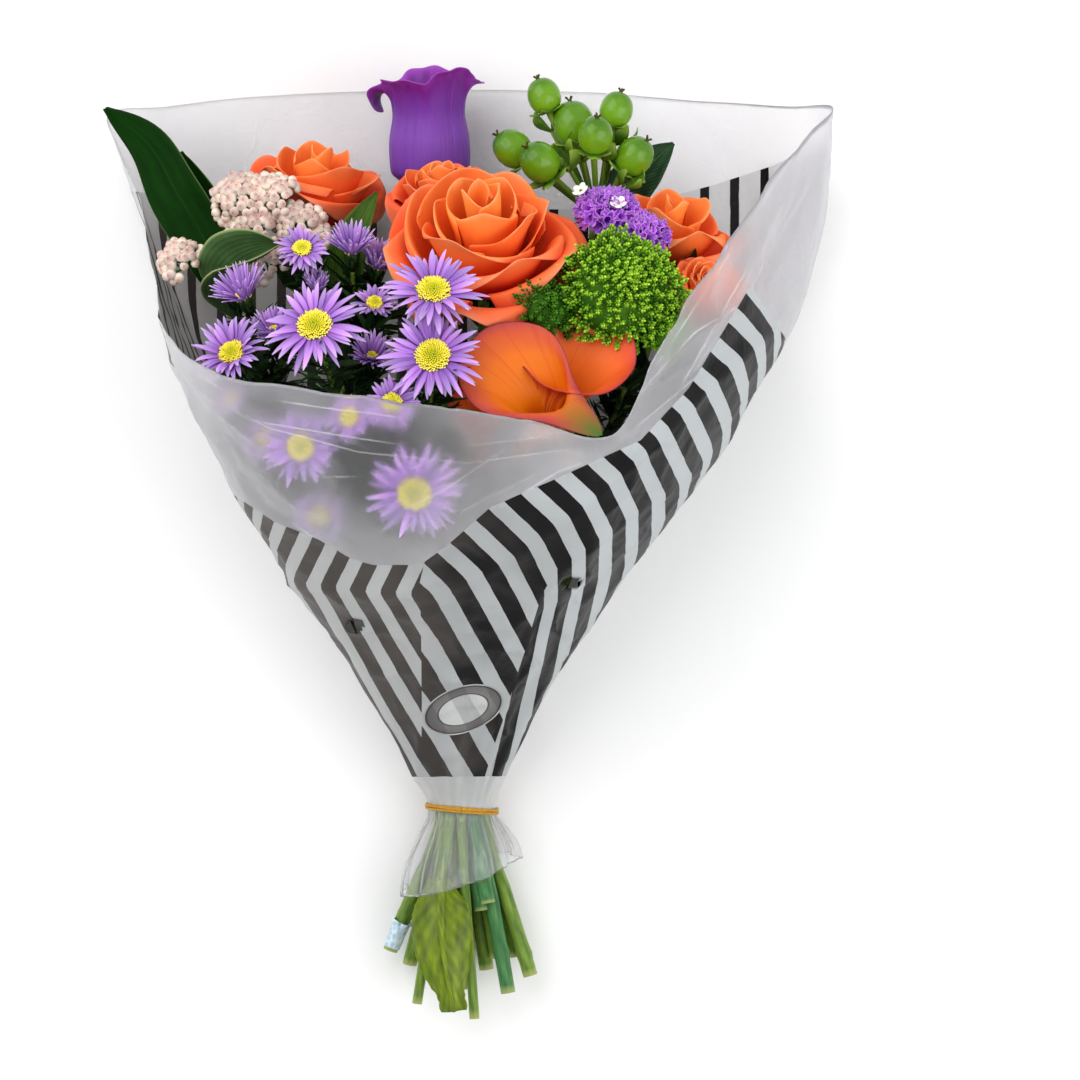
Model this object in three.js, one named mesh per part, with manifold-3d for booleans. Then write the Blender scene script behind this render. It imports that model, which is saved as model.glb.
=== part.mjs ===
// A mixed flower bouquet in a printed film sleeve, lying on its back.
//
// Frame, in millimetres: +Z up, +Y along the stems towards the flowers, +X to the right when the
// flowers point away from you. The origin is on the flat back of the sleeve, where it rests.
// Nineteen cut stems are held side by side by one rubber band and fan out on both sides of it.
import * as THREE from "three";
import { mergeVertices } from "three/addons/utils/BufferGeometryUtils.js";
import Module from "manifold-3d";

const wasm = await Module();
wasm.setup();

// ---------------------------------------------------------------- driving dimensions
const SEAT_GAP = 0.3; // between a flower and the end of its stem
const NECK = { x: -1.9, y: -194.4, z: 17 }; // middle of the bundle at the rubber band
const STEM_RADIUS = 2.5;
const SPRAY_STEM_RADIUS = 2.3;
const TWIG_RADIUS = 1.1;
const STEM_PITCH = 5.5; // from stem to stem in the packed bundle
const ROW_PITCH = STEM_PITCH * Math.sin(Math.PI / 3);
const NECK_HALF_LENGTH = 7; // the stems run side by side this far on each side of the band
const SLEEVE_NECK_RADIUS = 15.2; // outside of the film under the band
const FILM_WALL = 0.8;
const SKIRT_RINGS = 2; // rings of the film below the neck
const CONE_RINGS = 11; // rings above it
const SLEEVE_RINGS = SKIRT_RINGS + 1 + CONE_RINGS;
const SLEEVE_COLUMNS = 40;
const NECK_FILM_HALF = 3.2; // the film is a plain tube this far on each side of the band
const SKIRT = { x: -3.2, y: -224, z: 23, radius: 26, height: 22, slant: 8 };
const BULGE = { left: 12, right: 36, front: 16, back: 3 }; // how far the film stands out
const GATHER = 1.12; // above 1, the film is drawn in towards the neck
const BULGE_HEIGHT = 1.8; // above 1, the bulge is widest past the middle of the cone
const BAND = { radius: 15.6, thickness: 1.1, width: 3.2, slant: 0.08 };

// The sleeve's open rim, from the middle of the back round the left to the front and the right.
const RIM = [
  [0, 132.6, 0], [-76, 130.7, 0], [-136, 125, 1], [-163, 118, 12],
  [-145, 76, 42], [-132, 35, 85], [-122, 10, 128], [-95, -4, 160],
  [-57, -12, 174], [-16, -17, 179], [25, -23, 172], [62, -29, 157],
  [80, 2, 158], [98, 33, 146], [119, 64, 120], [143, 96, 84],
  [163, 119, 46], [146, 123, 18], [106, 127, 3], [61, 131, 0],
];

// ---------------------------------------------------------------- colours
function finish(colour, roughness = 0.6) {
  return new THREE.MeshStandardMaterial({ color: colour, roughness, metalness: 0 });
}
const FILM = finish(0xd8d8d6, 0.35);
const RUBBER = finish(0xc08a1c, 0.7);
const TAPE = finish(0xa9c4d4, 0.8);
const STEM = finish(0x6f8f3a, 0.6);
const LEAF = finish(0x1f5a26, 0.45);
const ROSE = finish(0xf2622c, 0.6);
const CALLA = finish(0xe8842a, 0.5);
const ASTER = finish(0x9a74d8, 0.7);
const BELL = finish(0x5f2ba6, 0.6);
const STATICE = finish(0x7a35b8, 0.8);
const BERRY = finish(0x5c9a1e, 0.3);
const GREEN_BUD = finish(0x5f9e2a, 0.8);
const RICE = finish(0xe2cdc4, 0.8);

// ---------------------------------------------------------------- shape helpers
const bouquet = new THREE.Group();
const vector = (p) => new THREE.Vector3(...p);

function addMesh(name, geometry, material) {
  const mesh = new THREE.Mesh(geometry, material);
  mesh.name = name;
  bouquet.add(mesh);
  return mesh;
}

// A closed geometry as a solid for joining, with only its positions kept.
function solidOf(geometry) {
  const bare = geometry.clone();
  bare.deleteAttribute("normal");
  bare.deleteAttribute("uv");
  const merged = mergeVertices(bare, 1e-3);
  return new wasm.Manifold(
    new wasm.Mesh({
      numProp: 3,
      vertProperties: new Float32Array(merged.attributes.position.array),
      triVerts: new Uint32Array(merged.index.array),
    }),
  );
}

function geometryOf(solid) {
  const mesh = solid.getMesh();
  return new THREE.BufferGeometry()
    .setAttribute("position", new THREE.BufferAttribute(new Float32Array(mesh.vertProperties), 3))
    .setIndex(new THREE.BufferAttribute(new Uint32Array(mesh.triVerts), 1));
}

function joined(geometries) {
  return geometryOf(geometries.map(solidOf).reduce((all, next) => all.add(next)));
}

// A round bar along a smooth curve through the points.
function tube(points, radius, sides = 6, steps = 14) {
  const section = new THREE.Shape(
    Array.from({ length: sides }, (_, i) => {
      const angle = (2 * Math.PI * i) / sides;
      return new THREE.Vector2(radius * Math.cos(angle), radius * Math.sin(angle));
    }),
  );
  const route = new THREE.CatmullRomCurve3(points.map(vector), false, "centripetal");
  return new THREE.ExtrudeGeometry(section, { steps, bevelEnabled: false, extrudePath: route });
}

// A turned body: its profile is [radius, height] pairs from the foot on the axis to the top on it.
function turned(profile, sides) {
  const corners = profile.map(([radius, height]) => new THREE.Vector2(radius, height));
  return new THREE.LatheGeometry(corners, sides);
}

// Moves a body made round +Y so that it stands at a point and looks along a direction.
function aimed(geometry, at, facing) {
  const turn = new THREE.Quaternion().setFromUnitVectors(
    new THREE.Vector3(0, 1, 0),
    vector(facing).normalize(),
  );
  return geometry.applyQuaternion(turn).translate(...at);
}

// A sheet with a wall: point(u, v) is its outside, and the wall goes in against the normal.
function sheet(point, columns, rows, wall, closedRound) {
  const across = closedRound ? columns : columns + 1;
  const outer = [];
  for (let j = 0; j <= rows; j += 1)
    for (let i = 0; i < across; i += 1) outer.push(point(i / columns, j / rows));
  const at = (i, j) => j * across + (closedRound ? (i + columns) % columns : i);
  const normals = outer.map(() => new THREE.Vector3());
  for (let j = 0; j < rows; j += 1)
    for (let i = 0; i < columns; i += 1) {
      const corners = [at(i, j), at(i + 1, j), at(i + 1, j + 1), at(i, j + 1)];
      const one = outer[corners[2]].clone().sub(outer[corners[0]]);
      const two = outer[corners[3]].clone().sub(outer[corners[1]]);
      const face = one.cross(two);
      corners.forEach((c) => normals[c].add(face));
    }
  const inner = outer.map((p, k) => p.clone().addScaledVector(normals[k].normalize(), -wall));
  const count = outer.length;
  const faces = [];
  const quad = (a, b, c, d) => faces.push(a, b, c, a, c, d);
  for (let j = 0; j < rows; j += 1)
    for (let i = 0; i < columns; i += 1) {
      const [a, b, c, d] = [at(i, j), at(i + 1, j), at(i + 1, j + 1), at(i, j + 1)];
      quad(a, b, c, d);
      quad(count + d, count + c, count + b, count + a);
    }
  for (let i = 0; i < columns; i += 1) {
    quad(at(i + 1, 0), at(i, 0), count + at(i, 0), count + at(i + 1, 0));
    quad(at(i, rows), at(i + 1, rows), count + at(i + 1, rows), count + at(i, rows));
  }
  if (!closedRound)
    for (let j = 0; j < rows; j += 1) {
      quad(at(0, j), at(0, j + 1), count + at(0, j + 1), count + at(0, j));
      quad(at(columns, j + 1), at(columns, j), count + at(columns, j), count + at(columns, j + 1));
    }
  const flat = [...outer, ...inner].flatMap((p) => [p.x, p.y, p.z]);
  return new THREE.BufferGeometry()
    .setAttribute("position", new THREE.BufferAttribute(new Float32Array(flat), 3))
    .setIndex(faces);
}

// A leaf blade: a sheet as wide as width at its middle, cupped along its spine.
function blade(spine, side, width, { cup = 0.12, wall = 1, widest = 0.45 } = {}) {
  const route = new THREE.CatmullRomCurve3(spine.map(vector), false, "centripetal");
  const sideways = vector(side).normalize();
  const power = Math.log(0.5) / Math.log(widest);
  return sheet(
    (u, v) => {
      const half = (width / 2) * Math.max(0.07, Math.sin(Math.PI * v ** power) ** 0.75);
      const along = route.getTangent(v);
      const across = sideways.clone().addScaledVector(along, -sideways.dot(along)).normalize();
      const up = across.clone().cross(along);
      const offset = 2 * u - 1;
      return route
        .getPoint(v)
        .addScaledVector(across, half * offset)
        .addScaledVector(up, half * cup * offset * offset);
    },
    4,
    10,
    wall,
    false,
  );
}

// ---------------------------------------------------------------- the film sleeve
const rimCurve = new THREE.CatmullRomCurve3(RIM.map(vector), true, "catmullrom", 0.5);

// u goes once round from the middle of the back by the left, v from the skirt's edge to the rim.
function sleevePoint(u, v) {
  const ring = v * SLEEVE_RINGS;
  const angle = 2 * Math.PI * u;
  const out = new THREE.Vector3(-Math.sin(angle), 0, -Math.cos(angle));
  const neck = vector([NECK.x, NECK.y, NECK.z]).addScaledVector(out, SLEEVE_NECK_RADIUS);
  const inSkirt = ring < SKIRT_RINGS + 0.5;
  neck.y += inSkirt ? -NECK_FILM_HALF : NECK_FILM_HALF;
  if (inSkirt) {
    const hem = new THREE.Vector3(
      SKIRT.x + SKIRT.radius * out.x,
      SKIRT.y + SKIRT.slant * (out.x - 0.5 * out.z),
      SKIRT.z + SKIRT.height * out.z,
    );
    return neck.lerp(hem, 1 - ring / SKIRT_RINGS);
  }
  const up = (ring - SKIRT_RINGS - 1) / CONE_RINGS;
  const side = Math.abs(out.x) ** 1.5;
  const depth = out.z > 0 ? BULGE.front : BULGE.back;
  const sideBulge = out.x < 0 ? BULGE.left : BULGE.right;
  const bulge = side * sideBulge + (1 - side) * depth;
  const rim = rimCurve.getPoint(u);
  const spread = up ** GATHER;
  const point = new THREE.Vector3(
    neck.x + (rim.x - neck.x) * spread,
    neck.y + (rim.y - neck.y) * up,
    neck.z + (rim.z - neck.z) * spread,
  );
  point.addScaledVector(out, bulge * Math.sin(Math.PI * up ** BULGE_HEIGHT));
  point.z = Math.max(0, point.z);
  return point;
}
addMesh("sleeve_film", sheet(sleevePoint, SLEEVE_COLUMNS, SLEEVE_RINGS, FILM_WALL, true), FILM);

// The rubber band is a loose flat ring, slanting across the neck.
function bandRing() {
  const { radius, thickness, width, slant } = BAND;
  const ring = [
    [radius, -width / 2],
    [radius + thickness, -width / 2],
    [radius + thickness, width / 2],
    [radius, width / 2],
    [radius, -width / 2],
  ];
  return aimed(turned(ring, 24), [NECK.x, NECK.y, NECK.z], [slant, 1, 0]);
}
addMesh("rubber_band", bandRing(), RUBBER);

// ---------------------------------------------------------------- stems
// The bundle is a hexagonal packing of five rows, the lowest first, left to right in each row.
function slotPlace(row, column) {
  const inRow = 5 - Math.abs(row - 2);
  return [
    NECK.x + (column - (inRow - 1) / 2) * STEM_PITCH,
    NECK.z + (row - 2) * ROW_PITCH,
  ];
}

// A stem's route: from its cut end, straight through the band, then up to its seat.
function stemRoute({ slot, cut, seat, facing, rise = 22 }) {
  const [x, z] = slotPlace(...slot);
  const end = vector(seat);
  const before = end.clone().addScaledVector(vector(facing).normalize(), -rise);
  return [
    cut,
    [x, NECK.y - NECK_HALF_LENGTH, z],
    [x, NECK.y + NECK_HALF_LENGTH, z],
    before.toArray(),
    end.toArray(),
  ];
}

// Where a flower's foot is: its depth behind its middle, and the stem ends just short of it.
function footOf({ at, facing, depth }) {
  return vector(at).addScaledVector(vector(facing).normalize(), -depth - SEAT_GAP).toArray();
}

function addStem(name, plan, twigs = []) {
  const main = tube(stemRoute(plan), plan.thickness ?? STEM_RADIUS);
  const branches = twigs.map((points) => tube(points, TWIG_RADIUS, 5, 5));
  addMesh(name, branches.length ? joined([main, ...branches]) : main, STEM);
}

// ---------------------------------------------------------------- roses
const ROSE_DEPTH = 0.85; // of its radius, from the widest part of the head back to its stem
function roseBody(radius) {
  const share = [
    [0, -ROSE_DEPTH], [0.2, -0.8], [0.6, -0.5], [0.93, -0.12],
    [1, 0.12], [0.82, 0.32], [0.42, 0.4], [0, 0.32],
  ];
  return turned(share.map(([r, h]) => [r * radius, h * radius]), 16);
}
const ROSES = {
  rose_centre: {
    at: [8.6, 54, 110], facing: [0, 0.6, 0.8], radius: 39.5,
    slot: [2, 2], cut: [0, -276, 18],
  },
  rose_left: {
    at: [-63, 84, 46], facing: [0.1, 0.85, 0.5], radius: 28,
    slot: [0, 0], cut: [-14, -270, 4],
  },
  rose_back: {
    at: [-13, 79, 67], facing: [-0.1, 0.9, 0.35], radius: 20,
    slot: [1, 1], cut: [-7, -274, 11],
  },
  rose_right: {
    at: [93, 62, 66], facing: [0.15, 0.75, 0.6], radius: 25.5,
    slot: [1, 3], cut: [23, -262, 10],
  },
  rose_small: {
    at: [108, 38, 92], facing: [0.45, 0.6, 0.65], radius: 14,
    slot: [2, 4], cut: [29, -270, 18],
  },
};
for (const [name, rose] of Object.entries(ROSES)) {
  addMesh(name, aimed(roseBody(rose.radius), rose.at, rose.facing), ROSE);
  const seat = footOf({ ...rose, depth: ROSE_DEPTH * rose.radius });
  addStem(`${name}_stem`, { ...rose, seat });
}

// ---------------------------------------------------------------- bell flower
const BELL_FLOWER = { foot: [-15.5, 84, 34], facing: [-0.02, 1, 0.2], slot: [0, 1], cut: [-2, -268, 4] };
const BELL_PROFILE = [
  [0, 0], [8, 1.5], [15, 12], [17, 26], [15.8, 44], [21, 56],
  [19.6, 56.6], [14.4, 44.5], [15.6, 26], [13.6, 13], [7, 3.4], [0, 2.6],
];
addMesh("bell_flower", aimed(turned(BELL_PROFILE, 16), BELL_FLOWER.foot, BELL_FLOWER.facing), BELL);
addStem("bell_flower_stem", {
  ...BELL_FLOWER,
  seat: footOf({ ...BELL_FLOWER, at: BELL_FLOWER.foot, depth: 0 }),
});

// ---------------------------------------------------------------- calla lilies
// A spathe is a funnel whose mouth slants, longer on the side away from the viewer.
const SPATHE_FOOT = 3; // inside radius where the stem goes in
const SPATHE_GRIP = 12; // how far the stem reaches in
function spathe({ foot, facing, length, mouth, slant }) {
  const funnel = sheet(
    (u, v) => {
      const angle = 2 * Math.PI * u;
      const radius = SPATHE_FOOT + (mouth - SPATHE_FOOT) * v ** 2.2;
      const back = Math.cos(angle);
      return new THREE.Vector3(
        radius * Math.sin(angle),
        v * (length + slant * back * v),
        -radius * back,
      );
    },
    14,
    6,
    1,
    true,
  );
  return aimed(funnel, foot, facing);
}
const CALLAS = {
  calla_front: {
    foot: [24, -40, 118], facing: [0, 0.72, 0.69], length: 54, mouth: 21, slant: 7,
    slot: [4, 2], cut: [10, -236, 31],
  },
  calla_right: {
    foot: [46, -44, 101], facing: [0.26, 0.74, 0.62], length: 50, mouth: 17, slant: 7,
    slot: [3, 3], cut: [19, -277, 25],
  },
  calla_small: {
    foot: [7, -44, 94], facing: [0.02, 0.75, 0.66], length: 34, mouth: 10, slant: 4,
    slot: [3, 2], cut: [7, -240, 24],
  },
};
for (const [name, calla] of Object.entries(CALLAS)) {
  addMesh(name, spathe(calla), CALLA);
  const seat = footOf({ ...calla, at: calla.foot, depth: -SPATHE_GRIP });
  addStem(`${name}_stem`, { ...calla, seat });
}

// ---------------------------------------------------------------- asters
const ASTER_DEPTH = 8; // from the petals back to the end of the twig
function asterBody(radius) {
  return turned(
    [
      [0, -ASTER_DEPTH], [3, -7.4], [4.6, -2], [radius, 0.4],
      [radius, 2], [8 * (radius / 20), 1.6], [7 * (radius / 20), 4], [0, 5],
    ],
    12,
  );
}
function asterBud(radius) {
  return turned([[0, -ASTER_DEPTH], [3, -7], [3.6, -1], [radius, 8], [radius - 1.5, 11], [0, 9]], 10);
}
// Five sprays: each is one stem with a twig to every flower head it carries.
const SPRAYS = {
  aster_top: {
    slot: [2, 1], cut: [-15, -272, 17], fork: [-50, 6, 88],
    heads: [
      { at: [-68, 50, 112], facing: [0, 0.55, 0.8], radius: 13 },
      { at: [-47, 49, 108], facing: [0, 0.8, 0.55], radius: 10, bud: true },
      { at: [-62, 33, 108], facing: [0, 0.7, 0.6], radius: 6, bud: true },
    ],
  },
  aster_left: {
    slot: [3, 0], cut: [-22, -282, 24], fork: [-84, -12, 96],
    heads: [
      { at: [-92, 29, 118], facing: [-0.35, 0.75, 0.5], radius: 11, bud: true },
      { at: [-96, 5, 130], facing: [-0.3, 0.45, 0.8], radius: 17 },
    ],
  },
  aster_mid: {
    slot: [3, 1], cut: [-9, -270, 24], fork: [-52, -14, 122],
    heads: [
      { at: [-60, 15, 156], facing: [-0.1, 0.5, 0.86], radius: 22.5 },
      { at: [-37, 26, 120], facing: [0.1, 0.6, 0.75], radius: 9 },
    ],
  },
  aster_low: {
    slot: [4, 0], cut: [-14, -244, 31], fork: [-58, -62, 98],
    heads: [{ at: [-66.6, -33.8, 138.5], facing: [-0.16, -0.16, 0.97], radius: 16 }],
  },
  aster_right: {
    slot: [4, 1], cut: [4, -288, 30], fork: [-16, -34, 118],
    heads: [
      { at: [-11, 29.5, 154], facing: [0.05, 0.6, 0.8], radius: 21.5 },
      { at: [-11, 2.5, 160], facing: [0, 0.35, 0.93], radius: 21.5 },
      { at: [-28, -16, 148], facing: [-0.1, 0.05, 0.95], radius: 12 },
      { at: [-19, -53, 142.5], facing: [0, -0.35, 0.93], radius: 21 },
    ],
  },
};
for (const [name, spray] of Object.entries(SPRAYS)) {
  const fork = vector(spray.fork);
  const twigs = spray.heads.map((head) => {
    const foot = vector(footOf({ ...head, depth: ASTER_DEPTH }));
    const lead = foot.clone().addScaledVector(vector(head.facing).normalize(), -7);
    return [fork.toArray(), lead.toArray(), foot.toArray()];
  });
  spray.heads.forEach((head, i) => {
    const body = head.bud ? asterBud(head.radius) : asterBody(head.radius);
    addMesh(`${name}_head_${i + 1}`, aimed(body, head.at, head.facing), ASTER);
  });
  const facing = fork.clone().sub(vector([NECK.x, NECK.y, NECK.z])).toArray();
  addStem(`${name}_stem`, { ...spray, seat: spray.fork, facing, thickness: SPRAY_STEM_RADIUS }, twigs);
}

// ---------------------------------------------------------------- hypericum berries
const BERRY_HEART = [54, 70, 52]; // every berry points away from here
const BERRY_TWIG_RADIUS = 1.2;
const HYPERICUM = { slot: [0, 2], cut: [10, -262, 4], fork: [58, 70, 56], facing: [0.1, 0.98, 0.15] };
const BERRIES = [
  { at: [35, 123, 58], radius: 7.2 }, { at: [48, 111, 57], radius: 9 },
  { at: [67, 117, 58], radius: 7.2 }, { at: [57.5, 104, 74], radius: 7.6 },
  { at: [21, 99.5, 60], radius: 8 }, { at: [33, 92.5, 72], radius: 8.4 },
  { at: [75, 96, 64], radius: 8 },
];
// A berry is a little longer than wide, with a blunt tip.
function berryBody(radius) {
  const share = [[0, -1], [0.6, -0.85], [1, -0.1], [0.85, 0.6], [0.35, 1], [0, 1.08]];
  return turned(share.map(([r, h]) => [r * radius, h * radius]), 10);
}
function berryCluster() {
  const parts = [];
  for (const { at, radius } of BERRIES) {
    const outward = vector(at).sub(vector(BERRY_HEART)).normalize();
    parts.push(aimed(berryBody(radius), at, outward.toArray()));
    const foot = vector(at).addScaledVector(outward, -0.8 * radius).toArray();
    const low = vector(HYPERICUM.fork).lerp(vector(at), 0.35);
    low.z -= 2;
    parts.push(tube([HYPERICUM.fork, low.toArray(), foot], BERRY_TWIG_RADIUS, 5, 4));
  }
  return joined(parts);
}
addMesh("hypericum_berries", berryCluster(), BERRY);
addStem("hypericum_stem", {
  ...HYPERICUM,
  seat: footOf({ at: HYPERICUM.fork, facing: HYPERICUM.facing, depth: BERRY_TWIG_RADIUS }),
});

// ---------------------------------------------------------------- small-flowered heads
function dome(radius, height, depth) {
  const profile = [
    [0, -depth], [0.12 * radius, -depth * 0.95], [0.7 * radius, -0.35 * depth],
    [radius, 0.1 * height], [0.92 * radius, 0.5 * height], [0.5 * radius, 0.9 * height], [0, height],
  ];
  return turned(profile, 14);
}
const CLUSTERS = {
  green_cluster: {
    at: [67, 32, 120], facing: [0.25, 0.35, 0.9], slot: [2, 3], cut: [14, -262, 17], colour: GREEN_BUD,
    depth: 20,
    lobes: [
      { shift: [0.5, 0, 0], radius: 25.5, height: 19, depth: 20 },
      { shift: [-31, -18, 4], radius: 11, height: 9, depth: 12 },
    ],
  },
  statice: {
    at: [64, 66, 92], facing: [0.1, 0.75, 0.6], slot: [1, 2], cut: [9, -268, 11], colour: STATICE,
    depth: 12,
    lobes: [
      { shift: [0, 0, 0], radius: 13, height: 10, depth: 12 },
      { shift: [14, -8, 4], radius: 9, height: 8, depth: 10 },
    ],
  },
  rice_flower: {
    at: [-84, 72, 82], facing: [-0.25, 0.6, 0.75], slot: [1, 0], cut: [-26, -266, 9], colour: RICE,
    depth: 16,
    lobes: [
      { shift: [0, 0, 0], radius: 23, height: 10, depth: 16 },
      { shift: [-37, -22, 2], radius: 10, height: 8, depth: 12 },
    ],
  },
};
for (const [name, cluster] of Object.entries(CLUSTERS)) {
  const { at, facing, lobes } = cluster;
  const foot = vector(at).addScaledVector(vector(facing).normalize(), -cluster.depth);
  const parts = lobes.map((lobe) => {
    const place = vector(at).add(vector(lobe.shift)).toArray();
    return aimed(dome(lobe.radius, lobe.height, lobe.depth), place, facing);
  });
  for (const lobe of lobes.slice(1)) {
    const place = vector(at).add(vector(lobe.shift));
    const root = foot.clone().addScaledVector(vector(facing).normalize(), 2.5);
    const route = [root, root.clone().lerp(place, 0.6), place];
    parts.push(tube(route.map((p) => p.toArray()), TWIG_RADIUS + 0.2, 5, 4));
  }
  addMesh(name, joined(parts), cluster.colour);
  addStem(`${name}_stem`, { ...cluster, seat: footOf(cluster) });
}

// ---------------------------------------------------------------- leaves
const RUSCUS = { slot: [2, 0], cut: [-34.5, -259, 14], seat: [-98, 22, 66], facing: [-0.3, 0.9, 0.2] };
const LEAVES = {
  ruscus_leaf_long: {
    spine: [[-98.2, 22.6, 66.6], [-111, 46, 66], [-131, 82, 58], [-161, 120, 36]],
    side: [0.75, 0.5, 0.3],
    width: 30,
  },
  ruscus_leaf_back: {
    spine: [[-98.2, 23.4, 64.9], [-99, 52, 52], [-108, 80, 45], [-124, 98, 42]],
    side: [0.8, 0.4, 0.3],
    width: 18,
  },
  ruscus_leaf_curled: {
    spine: [[-98.4, 22.4, 68.4], [-106, 32, 86], [-98, 42, 98], [-82, 53, 101]],
    side: [0.2, 0.9, -0.2],
    width: 15,
  },
  pointed_leaf: {
    spine: [[-50.5, 24, 94], [-51, 42, 93], [-46, 60, 94], [-37, 77, 95]],
    side: [0.8, -0.3, 0.2],
    width: 12,
  },
  hypericum_leaf: {
    spine: [[60.9, 65.4, 53.4], [69, 79, 43], [81, 93, 40], [93, 104, 40]],
    side: [0.7, -0.6, 0.1],
    width: 17,
  },
  stem_leaf: {
    spine: [[-11, -225, 31.7], [-11, -240, 36], [-9, -262, 38], [-5, -284, 36]],
    side: [1, 0, 0],
    width: 20,
  },
};
for (const [name, leaf] of Object.entries(LEAVES))
  addMesh(name, blade(leaf.spine, leaf.side, leaf.width), LEAF);
addStem("ruscus_stem", RUSCUS);

// The lowest left stem still has its tape wrapping near the cut.
function tapeWrap() {
  const route = new THREE.CatmullRomCurve3(stemRoute(RUSCUS).map(vector), false, "centripetal");
  const [start, end] = [route.getPointAt(0.006), route.getPointAt(0.04)];
  const length = start.distanceTo(end);
  const inner = STEM_RADIUS + 0.5;
  const outer = inner + 0.8;
  const ring = [[inner, 0], [outer, 0], [outer, length], [inner, length], [inner, 0]];
  return aimed(turned(ring, 12), start.toArray(), end.clone().sub(start).toArray());
}
addMesh("stem_tape", tapeWrap(), TAPE);

export default bouquet;
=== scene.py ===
# %% [markdown]
# # A mixed bouquet in a printed film sleeve
#
# The bouquet lies on its back on a table: nineteen stems held by one rubber band, a conical film bag
# round them, and the flowers showing in its open mouth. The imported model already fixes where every
# piece is and how big it is. This lesson gives each piece its real surface: petals, leaves, buds,
# stems and the crinkled film.
#
# All lengths in this file are in millimetres until the moment a mesh is made, because flowers are
# easier to think of in millimetres. Blender itself works in metres.

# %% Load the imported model
import math
import random
from functools import partial
from itertools import accumulate
from math import cos, exp, hypot, pi, sin

import bmesh
import bpy
from mathutils import Matrix, Vector, noise
from mathutils.bvhtree import BVHTree


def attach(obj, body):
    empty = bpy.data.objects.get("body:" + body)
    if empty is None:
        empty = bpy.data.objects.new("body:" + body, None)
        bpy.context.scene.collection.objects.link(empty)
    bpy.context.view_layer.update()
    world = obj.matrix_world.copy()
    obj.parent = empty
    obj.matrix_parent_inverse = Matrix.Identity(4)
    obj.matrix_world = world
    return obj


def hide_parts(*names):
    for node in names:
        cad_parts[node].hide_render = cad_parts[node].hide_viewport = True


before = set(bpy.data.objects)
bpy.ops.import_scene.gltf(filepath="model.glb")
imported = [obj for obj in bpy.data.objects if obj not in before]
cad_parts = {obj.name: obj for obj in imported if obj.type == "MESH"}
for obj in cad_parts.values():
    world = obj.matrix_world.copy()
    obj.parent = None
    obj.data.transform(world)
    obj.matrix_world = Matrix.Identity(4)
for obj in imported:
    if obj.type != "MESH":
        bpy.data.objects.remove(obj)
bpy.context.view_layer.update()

MM = 0.001
TURN = 2 * pi

# %% [markdown]
# ## The camera
#
# The bouquet is looked at straight from above, with its flowers away from the viewer. A long lens from
# 1.7 m keeps the sleeve's proportions. A camera without any rotation already looks straight down, so
# only its place is set.

# %% Camera over the bouquet
CAMERA_PLACE = Vector((33.4, -73.1, 1700))
camera = bpy.data.objects.new("camera", bpy.data.cameras.new("camera"))
bpy.context.scene.collection.objects.link(camera)
camera.location = CAMERA_PLACE * MM
camera.data.sensor_width = 36
camera.data.lens = 124
camera.data.clip_end = 10
bpy.context.scene.camera = camera
print("camera", tuple(round(value, 4) for value in camera.location))

# %% [markdown]
# ## Small helpers
#
# Almost everything in a bouquet is a thin sheet: a petal, a leaf, a piece of film. Each one starts as
# Blender's own grid, and a function says where a point of that grid goes when the sheet is bent into
# shape. The grid's two directions are kept in a UV map, so a finish can follow the petal from its foot
# to its rim. A tube is the same grid rolled up along a route.

# %% Sheets from a grid
def shaped_sheet(mesh, columns, rows, shape, matrix=Matrix(), rolled=False, tint=0.5, layer=0):
    """Adds a grid to the bmesh and moves its points: shape(s, t) gives a place in millimetres.
    s and t go from 0 to 1. A rolled sheet has its two long edges joined into a tube. tint sets one
    petal apart from the next, and layer is which of the piece's finishes it has."""
    uv_map = mesh.loops.layers.uv.get("sheet") or mesh.loops.layers.uv.new("sheet")
    tints = mesh.loops.layers.uv.get("tint") or mesh.loops.layers.uv.new("tint")
    made = bmesh.ops.create_grid(mesh, x_segments=columns, y_segments=rows, size=0.5)["verts"]
    flat = {vert: (vert.co.x + 0.5, vert.co.y + 0.5) for vert in made}
    faces = {face for vert in made for face in vert.link_faces}
    for face in faces:
        face.smooth = True
        face.material_index = layer
        for loop in face.loops:
            loop[uv_map].uv = flat[loop.vert]
            loop[tints].uv = (tint, 0.5)
    for vert, (s, t) in flat.items():
        vert.co = matrix @ Vector(shape(s, t))
    if rolled:
        edge = [vert for vert, (s, t) in flat.items() if s < 0.001 or s > 0.999]
        bmesh.ops.remove_doubles(mesh, verts=edge, dist=1e-7)
    return made


def off_axis(angle, out, up, across=0.0):
    """A point beside a flower's Y axis: so far out, so high, and so far across to the side."""
    return out * sin(angle) + across * cos(angle), up, out * cos(angle) - across * sin(angle)


def rolled_at(s, out, up):
    """The same for a sheet that is rolled once round the axis."""
    return out * cos(TURN * s), up, -out * sin(TURN * s)


def aim(at, facing, turn=0.0, size=1.0):
    """A flower is shaped round its own Y axis: this stands it at a point, looking along facing."""
    swing = Vector((0, 1, 0)).rotation_difference(Vector(facing).normalized())
    spot = Matrix.Translation(Vector(at) * MM) @ swing.to_matrix().to_4x4()
    return spot @ Matrix.Rotation(turn, 4, "Y") @ Matrix.Scale(size * MM, 4)


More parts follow.
